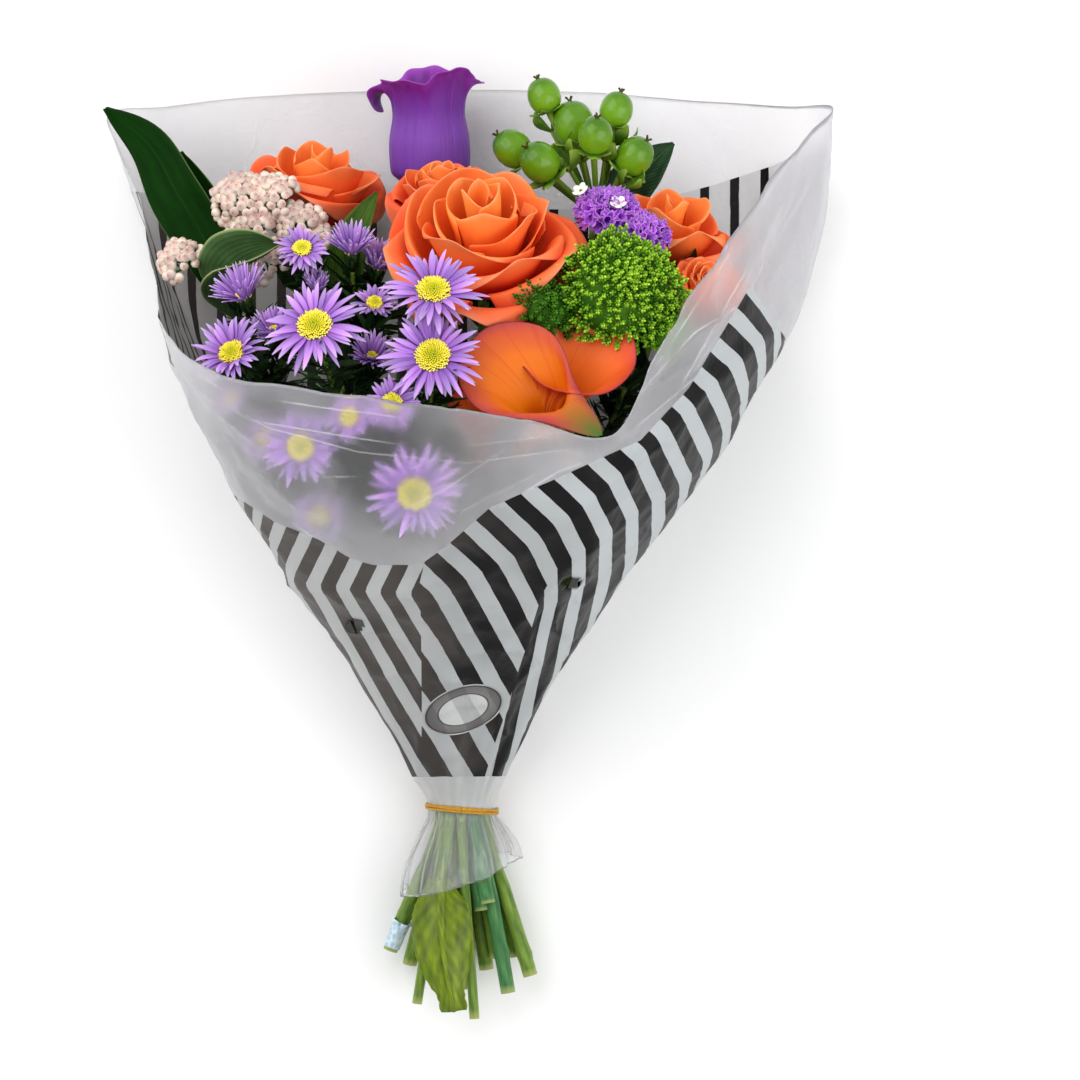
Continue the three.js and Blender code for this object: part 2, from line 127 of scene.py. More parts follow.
def piece_of(mesh, name, finish, nodes, wall=0.0, smooth=0):
    """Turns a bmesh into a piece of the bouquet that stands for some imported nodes."""
    data = bpy.data.meshes.new(name)
    mesh.to_mesh(data)
    mesh.free()
    piece = bpy.data.objects.new(name, data)
    bpy.context.scene.collection.objects.link(piece)
    for one in finish if isinstance(finish, list) else [finish]:
        data.materials.append(one)
    if wall:
        thickness = piece.modifiers.new("wall", "SOLIDIFY")
        thickness.thickness = wall * MM
        thickness.offset = 0
    if smooth:
        softer = piece.modifiers.new("softer", "SUBSURF")
        softer.levels = smooth
        softer.render_levels = smooth
    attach(piece, "root")
    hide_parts(*nodes)
    print(f"{name}: {len(data.polygons)} faces")
    return piece

# %% [markdown]
# A route through a few points is a centripetal Catmull-Rom curve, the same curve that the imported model
# uses for its stems, so that every visible stem lies exactly where its solid is.

# %% Routes and tubes
def route_through(points):
    """Returns a function of t from 0 to 1 that follows a smooth curve through the points."""
    spots = [Vector(point) for point in points]
    spots = [2 * spots[0] - spots[1]] + spots + [2 * spots[-1] - spots[-2]]

    def along(t):
        place = min(max(t, 0.0), 1.0) * (len(points) - 1)
        step = min(int(place), len(points) - 2)
        weight = place - step
        a, b, c, d = spots[step:step + 4]
        one = max((b - a).length ** 0.5, 1e-4)
        two = max((c - b).length ** 0.5, 1e-4)
        three = max((d - c).length ** 0.5, 1e-4)
        leave = ((b - a) / one - (c - a) / (one + two) + (c - b) / two) * two
        reach = ((c - b) / two - (d - b) / (two + three) + (d - c) / three) * two
        square = weight * weight
        cube = square * weight
        return (
            b * (2 * cube - 3 * square + 1) + leave * (cube - 2 * square + weight)
            + c * (3 * square - 2 * cube) + reach * (cube - square)
        )

    return along


def tube_along(mesh, points, radius, sides=10, rows=40, tint=0.5, layer=0):
    """Rolls a grid up along a route. radius is a number, or a function of t and the angle."""
    along = route_through(points)
    aims = []
    sideways = Vector((1, 0, 0))
    for row in range(rows + 1):
        t = row / rows
        ahead = (along(min(1, t + 0.002)) - along(max(0, t - 0.002))).normalized()
        sideways = (sideways - ahead * sideways.dot(ahead)).normalized()
        aims.append((along(t), sideways.copy(), ahead.cross(sideways)))

    def shape(s, t):
        middle, right, up = aims[round(t * rows)]
        angle = TURN * s
        size = radius(t, angle) if callable(radius) else radius
        return middle + (right * cos(angle) + up * sin(angle)) * size

    made = shaped_sheet(mesh, sides, rows, shape, Matrix.Scale(MM, 4), True, tint, layer)
    alive = [vert for vert in made if vert.is_valid]
    ends = {edge for vert in alive for edge in vert.link_edges if edge.is_boundary}
    for cap in bmesh.ops.holes_fill(mesh, edges=list(ends), sides=sides)["faces"]:
        cap.material_index = layer


def egg_template(name, columns, rows, profile, layer=0):
    """A small closed body to be copied: profile(t) gives its radius and height in millimetres."""
    egg = bmesh.new()
    shaped_sheet(egg, columns, rows, lambda s, t: rolled_at(s, *profile(t)), rolled=True, layer=layer)
    bmesh.ops.remove_doubles(egg, verts=egg.verts, dist=1e-4)
    bmesh.ops.recalc_face_normals(egg, faces=egg.faces)
    template = bpy.data.meshes.new(name)
    egg.to_mesh(template)
    egg.free()
    return template


def scatter(mesh, template, places):
    """Copies a small body to many places, each of which is a matrix and a tint."""
    for matrix, tint in places:
        copy = template.copy()
        copy.transform(matrix)
        copy.uv_layers["tint"].uv.foreach_set("vector", [tint, 0.5] * len(copy.loops))
        mesh.from_mesh(copy)
        bpy.data.meshes.remove(copy)

# %% [markdown]
# ## Finishes from nodes
#
# Every finish is a Principled shader with a few nodes in front of it. One function adds a node, sets
# it up and links it, so a material reads from top to bottom like a recipe. Colours are written as the
# usual sRGB hex values. Shaders reckon in linear light, and one function turns the one into the other.

# %% Colour and node helpers
def colour(hex_value):
    """An sRGB hex colour as the linear colour that a shader expects."""
    parts = [int(hex_value[i:i + 2], 16) / 255 for i in (1, 3, 5)]
    linear = [part / 12.92 if part <= 0.04045 else ((part + 0.055) / 1.055) ** 2.4 for part in parts]
    return (*linear, 1.0)


def add_node(tree, kind, inputs=(), stops=(), **settings):
    """Adds a node. inputs are the values of its sockets, in their order or by name: a number, a hex
    colour, or the node or output that feeds the socket. stops fills the ramp of a Color Ramp, and the
    other settings are the node's own properties."""
    made = tree.nodes.new("ShaderNode" + kind)
    for name, value in settings.items():
        setattr(made, name, value)
    if isinstance(inputs, dict):
        pairs = [(made.inputs[name], value) for name, value in inputs.items()]
    else:
        pairs = zip([socket for socket in made.inputs if socket.enabled], inputs)
    for socket, value in list(pairs):
        if isinstance(value, bpy.types.Node):
            value = next(output for output in value.outputs if output.enabled)
        if isinstance(value, bpy.types.NodeSocket):
            tree.links.new(value, socket)
        else:
            socket.default_value = colour(value) if isinstance(value, str) else value
    for number, (position, hex_value) in enumerate(stops):
        if number == 0:
            stop = made.color_ramp.elements[0]
            made.color_ramp.elements.remove(made.color_ramp.elements[1])
            stop.position = position
        else:
            stop = made.color_ramp.elements.new(position)
        stop.color = colour(hex_value)
    return made


def new_finish(name):
    """An empty material, and add_node for that material."""
    material = bpy.data.materials.new(name)
    material.use_nodes = True
    material.node_tree.nodes.clear()
    return material, partial(add_node, material.node_tree)


def surface(add, height, strength, depth, sockets):
    """The last nodes of most finishes: a bump of a depth in millimetres, the shader and the output."""
    bump = add("Bump", {"Strength": strength, "Distance": depth * MM, "Height": height})
    add("OutputMaterial", [add("BsdfPrincipled", {**sockets, "Normal": bump})])


print("helpers ready")

# %% [markdown]
# ## The film sleeve
#
# The sleeve is a bag of thin polypropylene film, open at both ends: a front sheet and a back sheet
# welded along two side seams, gathered at the neck by the rubber band. Cloth simulation would crumple
# it anywhere it liked, but its folds have to stay clear of nineteen stems and all their flowers. So
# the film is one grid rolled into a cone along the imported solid, and its pleats, creases and crinkles
# are small moves of its points along the surface.
#
# "Plan" coordinates are where a point appears on the table when it is looked at from the camera. The
# folds run in long lines across the front, and it is easiest to lay them out in that flat view.

# %% Shape of the cone, skirt and neck
NECK = Vector((-1.9, -194.4, 17))
NECK_RADIUS = 15.2
NECK_HALF = 3.2
SKIRT = Vector((-3.2, -224, 23))
RIM = [
    (0, 132.6, 0), (-76, 130.7, 0), (-136, 125, 1), (-163, 118, 12),
    (-145, 76, 42), (-132, 35, 85), (-122, 10, 128), (-95, -4, 160),
    (-57, -12, 174), (-16, -17, 179), (25, -23, 172), (62, -29, 157),
    (80, 2, 158), (98, 33, 146), (119, 64, 120), (143, 96, 84),
    (163, 119, 46), (146, 123, 18), (106, 127, 3), (61, 131, 0),
]


def plan(place):
    """Where the camera sees a point, as x and y on the table."""
    reach = 1 - place.z / CAMERA_PLACE.z
    x = CAMERA_PLACE.x + (place.x - CAMERA_PLACE.x) / reach
    y = CAMERA_PLACE.y + (place.y - CAMERA_PLACE.y) / reach
    return x, y


def rim_place(u):
    """The open rim: a closed Catmull-Rom curve from the middle of the back round by the left."""
    place = (u % 1) * len(RIM)
    weight = place % 1
    a, b, c, d = [Vector(RIM[(int(place) + i) % len(RIM)]) for i in (-1, 0, 1, 2)]
    leave, reach = (c - a) * 0.5, (d - b) * 0.5
    return (
        b * (2 * weight ** 3 - 3 * weight ** 2 + 1) + leave * (weight ** 3 - 2 * weight ** 2 + weight)
        + c * (3 * weight ** 2 - 2 * weight ** 3) + reach * (weight ** 3 - weight ** 2)
    )


def outward(u):
    """The way out of the cone, from the middle of the back round by the left."""
    return Vector((-sin(TURN * u), 0, -cos(TURN * u)))


SKIRT_END, CONE_START = 0.15, 0.2  # shares of the grid's height for the skirt and the neck


def sleeve_place(u, v):
    """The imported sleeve's own surface, u round it and v from the skirt's hem up to the rim."""
    out = outward(u)
    ring = NECK + out * NECK_RADIUS
    if v <= SKIRT_END:
        hem = Vector((
            SKIRT.x + 26 * out.x,
            SKIRT.y + 8 * (out.x - 0.5 * out.z),
            SKIRT.z + 22 * out.z,
        ))
        flare = sin(pi / 2 * (1 - v / SKIRT_END)) ** 1.15
        ring.y -= NECK_HALF
        place = ring.lerp(hem, 1 - v / SKIRT_END)
        place.x = ring.x + (hem.x - ring.x) * flare
        place.z = ring.z + (hem.z - ring.z) * flare
    elif v < CONE_START:
        place = ring
        place.y += NECK_HALF * (2 * (v - SKIRT_END) / (CONE_START - SKIRT_END) - 1)
    else:
        up = (v - CONE_START) / (1 - CONE_START)
        side = abs(out.x) ** 1.5
        bulge = side * (12 if out.x < 0 else 36) + (1 - side) * (16 if out.z > 0 else 3)
        rim = rim_place(u)
        spread = up ** 1.12
        place = Vector((
            ring.x + (rim.x - ring.x) * spread,
            ring.y + NECK_HALF + (rim.y - ring.y - NECK_HALF) * up,
            ring.z + (rim.z - ring.z) * spread,
        ))
        place += out * bulge * sin(pi * up ** 1.8)
    place.z = max(0.4, place.z)
    return place


print("rim at the front", tuple(round(value) for value in rim_place(0.5)))

# %% [markdown]
# A crease is a line in the plan with a depth and a width: the film rises or falls beside it like a
# tent. The long creases are where the bag was folded flat before it was filled, and the others fan out
# from the neck, where the film is squeezed. Pleats are sines round the neck that die away up the cone.

# %% Folds, pleats and crinkles
PRINT_EDGE = [
    (-100, -56.6), (-87.7, -64.9), (-67.1, -73.1), (-53.4, -81.3), (-42.5, -84.5), (-26, -84.5),
    (-19.2, -82.7), (-9.6, -75.8), (11, -58), (35.7, -47.1), (79.1, -27.4), (101.9, -3.2),
    (129.8, 43.4), (145.4, 18.8),
]
FOLD_ONE = [
    (-85.9, -89.6), (-74, -92.8), (-56.2, -95), (-31.5, -96.9), (-13.7, -97.3), (-4.1, -92.8),
    (22, -80.4), (33.6, -70.8), (52.3, -57.6), (67.9, -44.3), (86.7, -25.6), (145.4, 30),
]
FOLD_TWO = [
    (18, -150), (26, -125), (34, -98), (40.7, -86.4), (57.8, -74), (84.3, -55.3), (95.2, -49),
    (105.4, -39.6), (122.5, -20.5),
]
LEFT_FOLD = [(-19.2, -82.7), (-22.4, -95.9), (-21, -105.5), (-20.5, -146.2), (-20.5, -180)]
# Each crease: its line in the plan, how far it stands out in millimetres, and its half width.
CREASES = [
    (FOLD_ONE, 2.2, 5), (FOLD_TWO, 2.0, 4), (LEFT_FOLD, 2.4, 4),
    ([(-19.2, -82.7), (6, -64), (42.5, -41.1), (88, -27)], 2.4, 6),
    ([(-19.2, -82.7), (-2, -60), (30, -44)], -2.0, 9),
    ([(-138, 12), (-108, -6), (-62, -13), (-30, -17)], 1.6, 5),
    ([(-126, -2), (-90, -22), (-50, -33), (0, -38), (52, -31)], -1.4, 8),
    ([(86, 6), (116, 52), (150, 104)], 1.6, 6),
    ([(104, 4), (130, 42), (158, 92)], -1.6, 6),
    ([(95, -8), (116, 30), (140, 72)], 1.5, 5),
    ([(-6, -170), (8, -136), (24, -108), (46, -84)], 1.8, 4),
    ([(0, -172), (20, -140), (44, -112), (70, -84)], -1.6, 5),
    ([(-14, -176), (-8, -146), (-2, -118), (4, -98)], 1.4, 4),
    ([(-24, -170), (-40, -140), (-60, -112), (-78, -96)], 1.5, 5),
    ([(-22, -150), (-34, -124), (-46, -104)], -1.4, 5),
    ([(28, -112), (44, -104), (58, -96)], -1.6, 4),
    ([(-2, -126), (14, -118), (30, -110)], 1.2, 3),
    ([(-128, 2), (-100, -18), (-66, -24), (-34, -29)], 1.3, 3),
    ([(-112, -24), (-92, -58), (-70, -72)], -1.5, 6),
    ([(-60, -44), (-34, -44), (0, -30), (34, -26)], 1.6, 6),
    ([(-30, -60), (-10, -50), (14, -34)], 1.4, 5),
    ([(66, -24), (84, 0), (104, 22), (124, 34)], 1.8, 4),
    ([(72, -26), (96, -6), (118, 12), (142, 30)], -1.6, 4),
    ([(104, 46), (118, 60), (126, 84)], 1.8, 4),
    ([(-14, -130), (2, -140), (16, -156)], 1.6, 4),
    ([(12, -102), (26, -116), (34, -132)], 1.5, 4),
    ([(36, -98), (30, -122), (20, -148), (8, -172)], -2.0, 4),
    ([(-48, -100), (-38, -120), (-30, -150)], 1.4, 4),
    ([(-70, -92), (-56, -112), (-44, -128)], -1.3, 5),
]


def to_line(x, y, line):
    """How far a point of the plan is from a line of straight runs: above 0 on one side of it and
    below 0 on the other."""
    nearest = 1e9
    for (ax, ay), (bx, by) in zip(line, line[1:]):
        dx, dy = bx - ax, by - ay
        t = min(1, max(0, ((x - ax) * dx + (y - ay) * dy) / (dx * dx + dy * dy)))
        away = hypot(x - ax - t * dx, y - ay - t * dy)
        if away < abs(nearest):
            nearest = math.copysign(away, dx * (y - ay) - dy * (x - ax))
    return nearest


def on_line(x, line):
    """The height of a line of straight runs above x, carried on past both its ends."""
    run = 0
    while run < len(line) - 2 and x > line[run + 1][0]:
        run += 1
    (ax, ay), (bx, by) = line[run], line[run + 1]
    return ay + (by - ay) * (x - ax) / (bx - ax)


def film_relief(u, v, place):
    """How far the film stands out from the smooth cone at this point, in millimetres, and which of the
    creases is nearest, if one is near at all."""
    up = (v - CONE_START) / (1 - CONE_START)
    angle = TURN * u
    if v < CONE_START:
        hem = max(0, 1 - v / SKIRT_END)
        ruffle = 1.5 * sin(7 * angle + 1) + 1.1 * sin(12 * angle + 2.4) + 0.5 * sin(19 * angle)
        return hem ** 0.7 * ruffle + 0.35 * sin(26 * angle), None
    gathered = up * exp(-up * 6.5) * 6.5 * math.e
    relief = 0.35 * sin(26 * angle) * exp(-up * 12)
    relief += gathered * (0.7 * sin(11 * angle + 0.6) + 0.5 * sin(17 * angle + 2))
    x, y = plan(place)
    front = max(0.0, outward(u).z + 0.25)
    nearest, near_line = 8.0, None
    if front > 0:
        for line, rise, width in CREASES:
            away = abs(to_line(x, y, line))
            if away < nearest:
                nearest, near_line = away, line
            if away < 4 * width:
                relief += min(1, 3 * front) * rise * exp(-away / width)
    wave = noise.noise(place / 38) * 2.0 + abs(noise.noise(place / 13 + Vector((7, 3, 1)))) * 0.9
    ridge = 1 - 2.4 * abs(noise.noise(place / 24 + Vector((1, 9, 4))))
    wave += max(0, ridge) ** 2 * (0.5 + 1.3 * max(0, outward(u).z))
    relief += wave * min(1, up * 5) * (0.35 if place.z < 3 else 1)
    near_rim = max(0, 1 - (1 - up) * 9)
    relief += near_rim * (0.9 * sin(9 * angle + 0.7) + 0.6 * sin(23 * angle))
    return relief, near_line


print("creases", len(CREASES), "and the longest is", round(max(
    sum(math.dist(a, b) for a, b in zip(line, line[1:])) for line, rise, width in CREASES)), "mm")

# %% [markdown]
# The print is plain stripes, 13.8 mm from one black edge to the next. On the flat film they are
# straight, so on the bag they only turn where the film is folded. That gives a neat rule for the stripe
# count at any point: start with straight slanting stripes, and past each fold add a term that grows
# with the distance from it. The count then has no jump at the fold, only a bend. On the steep flanks it
# also grows by the length that the plan doesn't show.
#
# The folds part the front into three panels, and each has a UV map of its own: its x is the stripe
# count, and its y how far inside the panel's edge a point is, in centimetres, so the finish can draw
# every edge crisply. Where the maps of two panels meet, the y decides which of them shows.

# %% Building the film with its stripe maps
COLUMNS, ROWS = 256, 144
STRIPE = 13.8
SEAM_LEFT, SEAM_RIGHT = 0.29, 0.81
BACK_EDGE = [(-145, 85.5), (-60, 78), (70, 78), (112.5, 89), (140, 98), (166, 110)]
FOLD_THREE = [(42.5, -100.5), (79, -82)]
CORNER = FOLD_TWO[3][0]  # where the second fold turns down to the neck
PRINT_END = -181  # how far down the plan the print goes, to just above the neck
# What the maps hold where a panel isn't, on the back sheet, and far from every crease.
NOT_HERE, BACK_SHEET, NO_CREASE = -10, -100, 9
# Two vent holes, punched through the front, and half their length and width.
VENTS = [(-51, -112), (48, -92.5)]
VENT_HALF_LENGTH, VENT_HALF_WIDTH = 4.6, 2.9


def below(x, y, fold):
    """How far under a fold a point is, and 0 above it."""
    return max(0, on_line(x, fold) - y)


def right_stripes(x, y):
    """The stripe count on the upper right-hand panel of the front sheet."""
    return (0.62 * x + 0.66 * y + 0.25 * below(x, y, FOLD_ONE)) / STRIPE + 0.84


def lower_stripes(x, y):
    """The stripe count on the lower right-hand panel: along the second fold it is what the upper panel
    has there, and below it the stripes are upright and drawn in to the neck."""
    at = max(x, CORNER)
    past = 1.1 * (x - at) + 0.3 * below(x, y, FOLD_THREE)
    return right_stripes(at, on_line(at, FOLD_TWO)) + past / STRIPE


def left_stripes(x, y):
    """The stripe count on the left-hand panel, which slants the other way above the first fold."""
    return (x - 0.48 * y - 1.1 * below(x, y, FOLD_ONE)) / (1.03 * STRIPE) + 0.5


film = bmesh.new()
grid_places, row_lengths, crease_near, print_places, extra_lengths = {}, {}, {}, {}, {}
for row in range(ROWS + 1):
    ring = [sleeve_place(column / COLUMNS, row / ROWS) for column in range(COLUMNS + 1)]
    steps = [(after - before).length for before, after in zip(ring, ring[1:])]
    row_lengths[row] = list(accumulate(steps, initial=0.0))
    grid_places.update({(column, row): place for column, place in enumerate(ring)})
    # The film's steep flanks look narrow in the plan. This is by how much, from the middle of the
    # front out to either side.
    for way in (-1, 1):
        extra = 0.0
        for column in range(COLUMNS // 2, COLUMNS // 2 + way * (COLUMNS // 2), way):
            before, after = ring[column], ring[column + way]
            (ax, ay), (bx, by) = plan(before), plan(after)
            flat = math.copysign(hypot(bx - ax, by - ay), way * (bx - ax))
            extra += way * max(0, (after - before).length - 1.3 * flat)
            extra_lengths[(column + way) % COLUMNS, row] = extra


def film_place(s, t):
    """The point of the film at one point of the grid: the smooth cone moved out by its relief."""
    column, row = round(s * COLUMNS), round(t * ROWS)
    place = grid_places[column, row]
    here, crease_near[column % COLUMNS, row] = film_relief(s, t, place)
    beside = grid_places[(column + 1) % COLUMNS, row] - grid_places[(column - 1) % COLUMNS, row]
    ahead = grid_places[column, min(ROWS, row + 1)] - grid_places[column, max(0, row - 1)]
    normal = beside.cross(ahead).normalized()
    moved = place + normal * here
    moved.z = max(0.3, moved.z)
    # Stretched film stays nearly flat between its folds, so the print is laid out close to it.
    print_places[column % COLUMNS, row] = place.lerp(moved, 0.8)
    return moved


shaped_sheet(film, COLUMNS, ROWS, film_place, Matrix.Scale(MM, 4), rolled=True)
sheet_map = film.loops.layers.uv["sheet"]
print_map, left_map, lower_map, crease_map = [
    film.loops.layers.uv.new(name) for name in ("print", "left panel", "lower panel", "crease")
]
LEFT_FOLD_UPRIGHT = [(y, x) for x, y in reversed(LEFT_FOLD)]
for face in film.faces:
    middle = sum(loop[sheet_map].uv.x for loop in face.loops) / len(face.loops)
    is_front = SEAM_LEFT < middle < SEAM_RIGHT
    spots = [(round(loop[sheet_map].uv.x * COLUMNS) % COLUMNS, round(loop[sheet_map].uv.y * ROWS))
             for loop in face.loops]
    near_line = next((crease_near[spot] for spot in spots if crease_near[spot]), None)
    for loop in face.loops:
        u, v = loop[sheet_map].uv
        column, row = round(u * COLUMNS), round(v * ROWS)
        x, y = plan(print_places[column % COLUMNS, row])
        loop[crease_map].uv = (to_line(x, y, near_line) if near_line else NO_CREASE, 0)
        if is_front:
            more = extra_lengths.get((column % COLUMNS, row), 0) / STRIPE
            loop[print_map].uv = (right_stripes(x, y) + more, (on_line(x, PRINT_EDGE) - y) / 10)
            loop[left_map].uv = (left_stripes(x, y) + more, (on_line(y, LEFT_FOLD_UPRIGHT) - x) / 10)
            loop[lower_map].uv = (lower_stripes(x, y) + more, (on_line(x, FOLD_TWO) - y) / 10)
        else:
            lengths = row_lengths[row]
            along = lengths[column] if middle < 0.5 else lengths[column] - lengths[-1]
            loop[print_map].uv = ((0.5 * along - 0.5 * x) / STRIPE, (on_line(x, BACK_EDGE) - y) / 10)
            loop[left_map].uv = (0, NOT_HERE)
            loop[lower_map].uv = (0, BACK_SHEET)
        loop[print_map].uv.y = min(loop[print_map].uv.y, (y - PRINT_END) / 10)
for hole_x, hole_y in VENTS:
    punched = []
    for face in film.faces:
        middle = face.calc_center_median() / MM
        x, y = plan(middle)
        across, along = (x - hole_x) / VENT_HALF_LENGTH, (y - hole_y) / VENT_HALF_WIDTH
        if middle.z > 30 and hypot(across, along) < 1:
            punched.append(face)
    bmesh.ops.delete(film, geom=punched, context="FACES")
print("film grid", len(film.verts), "points")

# %% [markdown]
# The film is cast polypropylene, 30 micrometres thick: satin, a little milky, and clearer where it
# touches what is behind it. Rough glass gives that, because its blur grows with the distance of the
# flower behind. The print is opaque white ink with black stripes over it. Light rays towards the lamps
# pass straight through the unprinted film, as they nearly do in the real one, so that the flowers
# under it stay lit.

# %% Finish of the film
film_finish, add = new_finish("printed polypropylene film")
maps = {}
for name in ("print", "left panel", "lower panel", "sheet", "crease"):
    maps[name] = add("SeparateXYZ", [add("UVMap", uv_map=name)]).outputs
film_object = add("TexCoord").outputs["Object"]
across, _, above_table = add("SeparateXYZ", [film_object]).outputs

# Which panel a point is on picks the stripe count, and its fraction says black or white.
is_left = add("Math", [maps["left panel"]["Y"], 0.0], operation="GREATER_THAN")
is_lower = add("Math", [maps["lower panel"]["Y"], 0.0], operation="GREATER_THAN")
right_count = add("Mix", [is_lower, maps["print"]["X"], maps["lower panel"]["X"]])
count = add("Mix", [is_left, right_count, maps["left panel"]["X"]])
# Small crumples push the stripe edges about by up to a millimetre or so.
crumple = add("TexNoise", {"Vector": film_object, "Scale": 60.0, "Detail": 3.0, "Distortion": 0.8})
pushed = add("Math", [crumple, 0.07, count], operation="MULTIPLY_ADD")
part = add("Math", [pushed], operation="FRACT")
# The back sheet, which the lower panel's map marks, has narrow stripes.
is_back = add("Math", [maps["lower panel"]["Y"], BACK_SHEET / 2], operation="LESS_THAN")
black_share = add("Mix", [is_back, 0.51, 0.3])
is_stripe = add("Math", [part, black_share], operation="LESS_THAN")
is_printed = add("Math", [maps["print"]["Y"], 0.0], operation="GREATER_THAN")

# Broad clouds 40 mm across, and a ramp from left to right across the bag: the black ink is deepest on
# the right, where the film lies double, and a lighter brown-grey on the left, which is painted light
# showing through the single layer there from behind. The white ink varies with it too.
clouds = add("TexNoise", {"Vector": film_object, "Scale": 25.0, "Detail": 2.0})
deep = add("Math", [across, 9.0, clouds], operation="MULTIPLY_ADD")
black_ink = add("ValToRGB", [deep], [
    (0.0, "#4a4542"), (0.42, "#383432"), (0.62, "#121112"), (1.0, "#0c0b0c"),
])
white_ink = add("ValToRGB", [deep], [(0.0, "#c8c9c9"), (0.5, "#babdbe"), (1.0, "#cacfd1")])
white_here = add("Mix", [is_back, white_ink, "#e2e3e3"], data_type="RGBA")
striped = add("Mix", [is_stripe, white_here, black_ink], data_type="RGBA")

# Low on the front, a plain oval label with a ring round it: a mapping turns and scales the object's
# own coordinates, so that the distance from its middle is 1 at the label's edge.
moved = add("Mapping", {"Vector": film_object, "Location": (0.3 * MM, 147.5 * MM, 0)})
turned = add("Mapping", {"Vector": moved, "Rotation": (0, 0, math.radians(-20))})
squashed = add("Mapping", {"Vector": turned, "Scale": (54.0, 96.0, 0.0)})
from_middle = add("VectorMath", [squashed], operation="LENGTH")
label = add("ValToRGB", [from_middle], [
    (0.0, "#bfc1c1"), (0.6, "#bfc1c1"), (0.61, "#4b4848"), (0.64, "#4b4848"), (0.65, "#777574"),
    (0.9, "#6b6968"), (0.91, "#3b3938"), (0.95, "#4b4848"), (0.96, "#b4b6b6"),
])
on_front = add("Math", [above_table, 25 * MM], operation="GREATER_THAN")
in_oval = add("Math", [from_middle, 1.0], operation="LESS_THAN")
is_label = add("Math", [on_front, in_oval], operation="MULTIPLY")
ink = add("Mix", [is_label, striped, label], data_type="RGBA")

# Along a sharp crease a white line half a millimetre wide is painted in: a painted highlight where
# the fold catches the light.
off_crease = add("Math", [maps["crease"]["X"]], operation="ABSOLUTE")
# How strong the painted highlight is follows the broad clouds.
faint = add("MapRange", [clouds, 0.42, 0.62, 0.0, 0.22])
crease_highlight = add("MapRange", [off_crease, 0.1, 0.55, faint, 0.0])
lies_back = add("Math", [above_table, 0.03], operation="LESS_THAN")
plain_film = add("Mix", [lies_back, "#f6f5f9", "#f7f6f7"], data_type="RGBA")
bare_film = add("Mix", [crease_highlight, plain_film, "#ffffff"], data_type="RGBA")
film_colour = add("Mix", [is_printed, bare_film, ink], data_type="RGBA")

# The milky film lets most light through, the skirt under the tie more, and the ink none.
SKIRT_SHOWS = 0.17  # the share of the sheet's height that lies below the tie
is_skirt = add("Math", [maps["sheet"]["Y"], SKIRT_SHOWS], operation="LESS_THAN")
is_bare = add("Math", [1.0, is_printed], operation="SUBTRACT")
# It is clearest in a patch at the middle of the rim, 90 mm wide, where it is stretched tight.
off_patch = add("Mapping", {
    "Vector": film_object, "Location": (0.64, 0.92, 0), "Scale": (16.0, 27.0, 0.0),
})
patch = add("VectorMath", [off_patch], operation="LENGTH")
stretched = add("Math", [clouds, 1.2, patch], operation="MULTIPLY_ADD")
# The right-hand flap is a single layer, so it is clearer than the rest.
milkiest = add("MapRange", [across, 0.04, 0.09, 0.69, 0.86])
patchy = add("MapRange", [stretched, 0.9, 2.3, 0.96, milkiest])
# Where the highlight is painted, the film lets less light through.
clear_less_highlight = add("Math", [patchy, crease_highlight], operation="SUBTRACT")
milky = add("Mix", [is_skirt, clear_less_highlight, 0.93])
bare_clear = add("Math", [milky, is_bare], operation="MULTIPLY")
# White ink still lets a third of the light through, and black ink none.
is_white = add("Math", [is_printed, is_stripe], operation="SUBTRACT", use_clamp=True)
clear = add("Math", [is_white, 0.3, bare_clear], operation="MULTIPLY_ADD")
satin = add("Mix", [is_printed, 0.3, 0.42])
haze = add("Mix", [is_skirt, satin, 0.12])

# Fine crinkles, 4 to 10 mm long, that catch the light.
crinkle = add("TexNoise", {"Vector": film_object, "Scale": 120.0, "Detail": 3.0, "Distortion": 1.2})
film_bump = add("Bump", {"Strength": 0.5, "Distance": 0.9 * MM, "Height": crinkle})
film_shader = add("BsdfPrincipled", {
    "Base Color": film_colour, "Transmission Weight": clear, "Roughness": haze, "IOR": 1.35,
    "Specular IOR Level": 0.3, "Normal": film_bump,
})
to_lamp = add("LightPath").outputs["Is Shadow Ray"]
lets_light = add("Math", [to_lamp, clear], operation="MULTIPLY")
through = add("BsdfTransparent", ["#f4f5f6"])
film_surface = add("MixShader", [lets_light, film_shader, through])
add("OutputMaterial", [film_surface])

film_surface_tree = BVHTree.FromBMesh(film)


def reach_inside(start, way, reach):
    """Shortens a leaf that would otherwise poke through the film."""
    hit = film_surface_tree.ray_cast(Vector(start) * MM, Vector(way).normalized(), (reach + 2) * MM)
    return reach if hit[3] is None else min(reach, max(0, hit[3] / MM - 2))


sleeve = piece_of(film, "film_sleeve", film_finish, ["sleeve_film"], wall=0.2)
film_area = sum(polygon.area for polygon in sleeve.data.polygons)
print("film area, square metres:", round(film_area, 4))

# %% [markdown]
# ## Petals
#
# A petal is soft, matt and a little velvety. Its colour runs from foot to rim, with faint streaks
# along its veins, and no two petals are quite alike. The shading runs on the sheet's own UV map, so it
# follows every petal however it is bent. The tint map holds one number for each petal: it shifts the
# hue and the brightness a little.

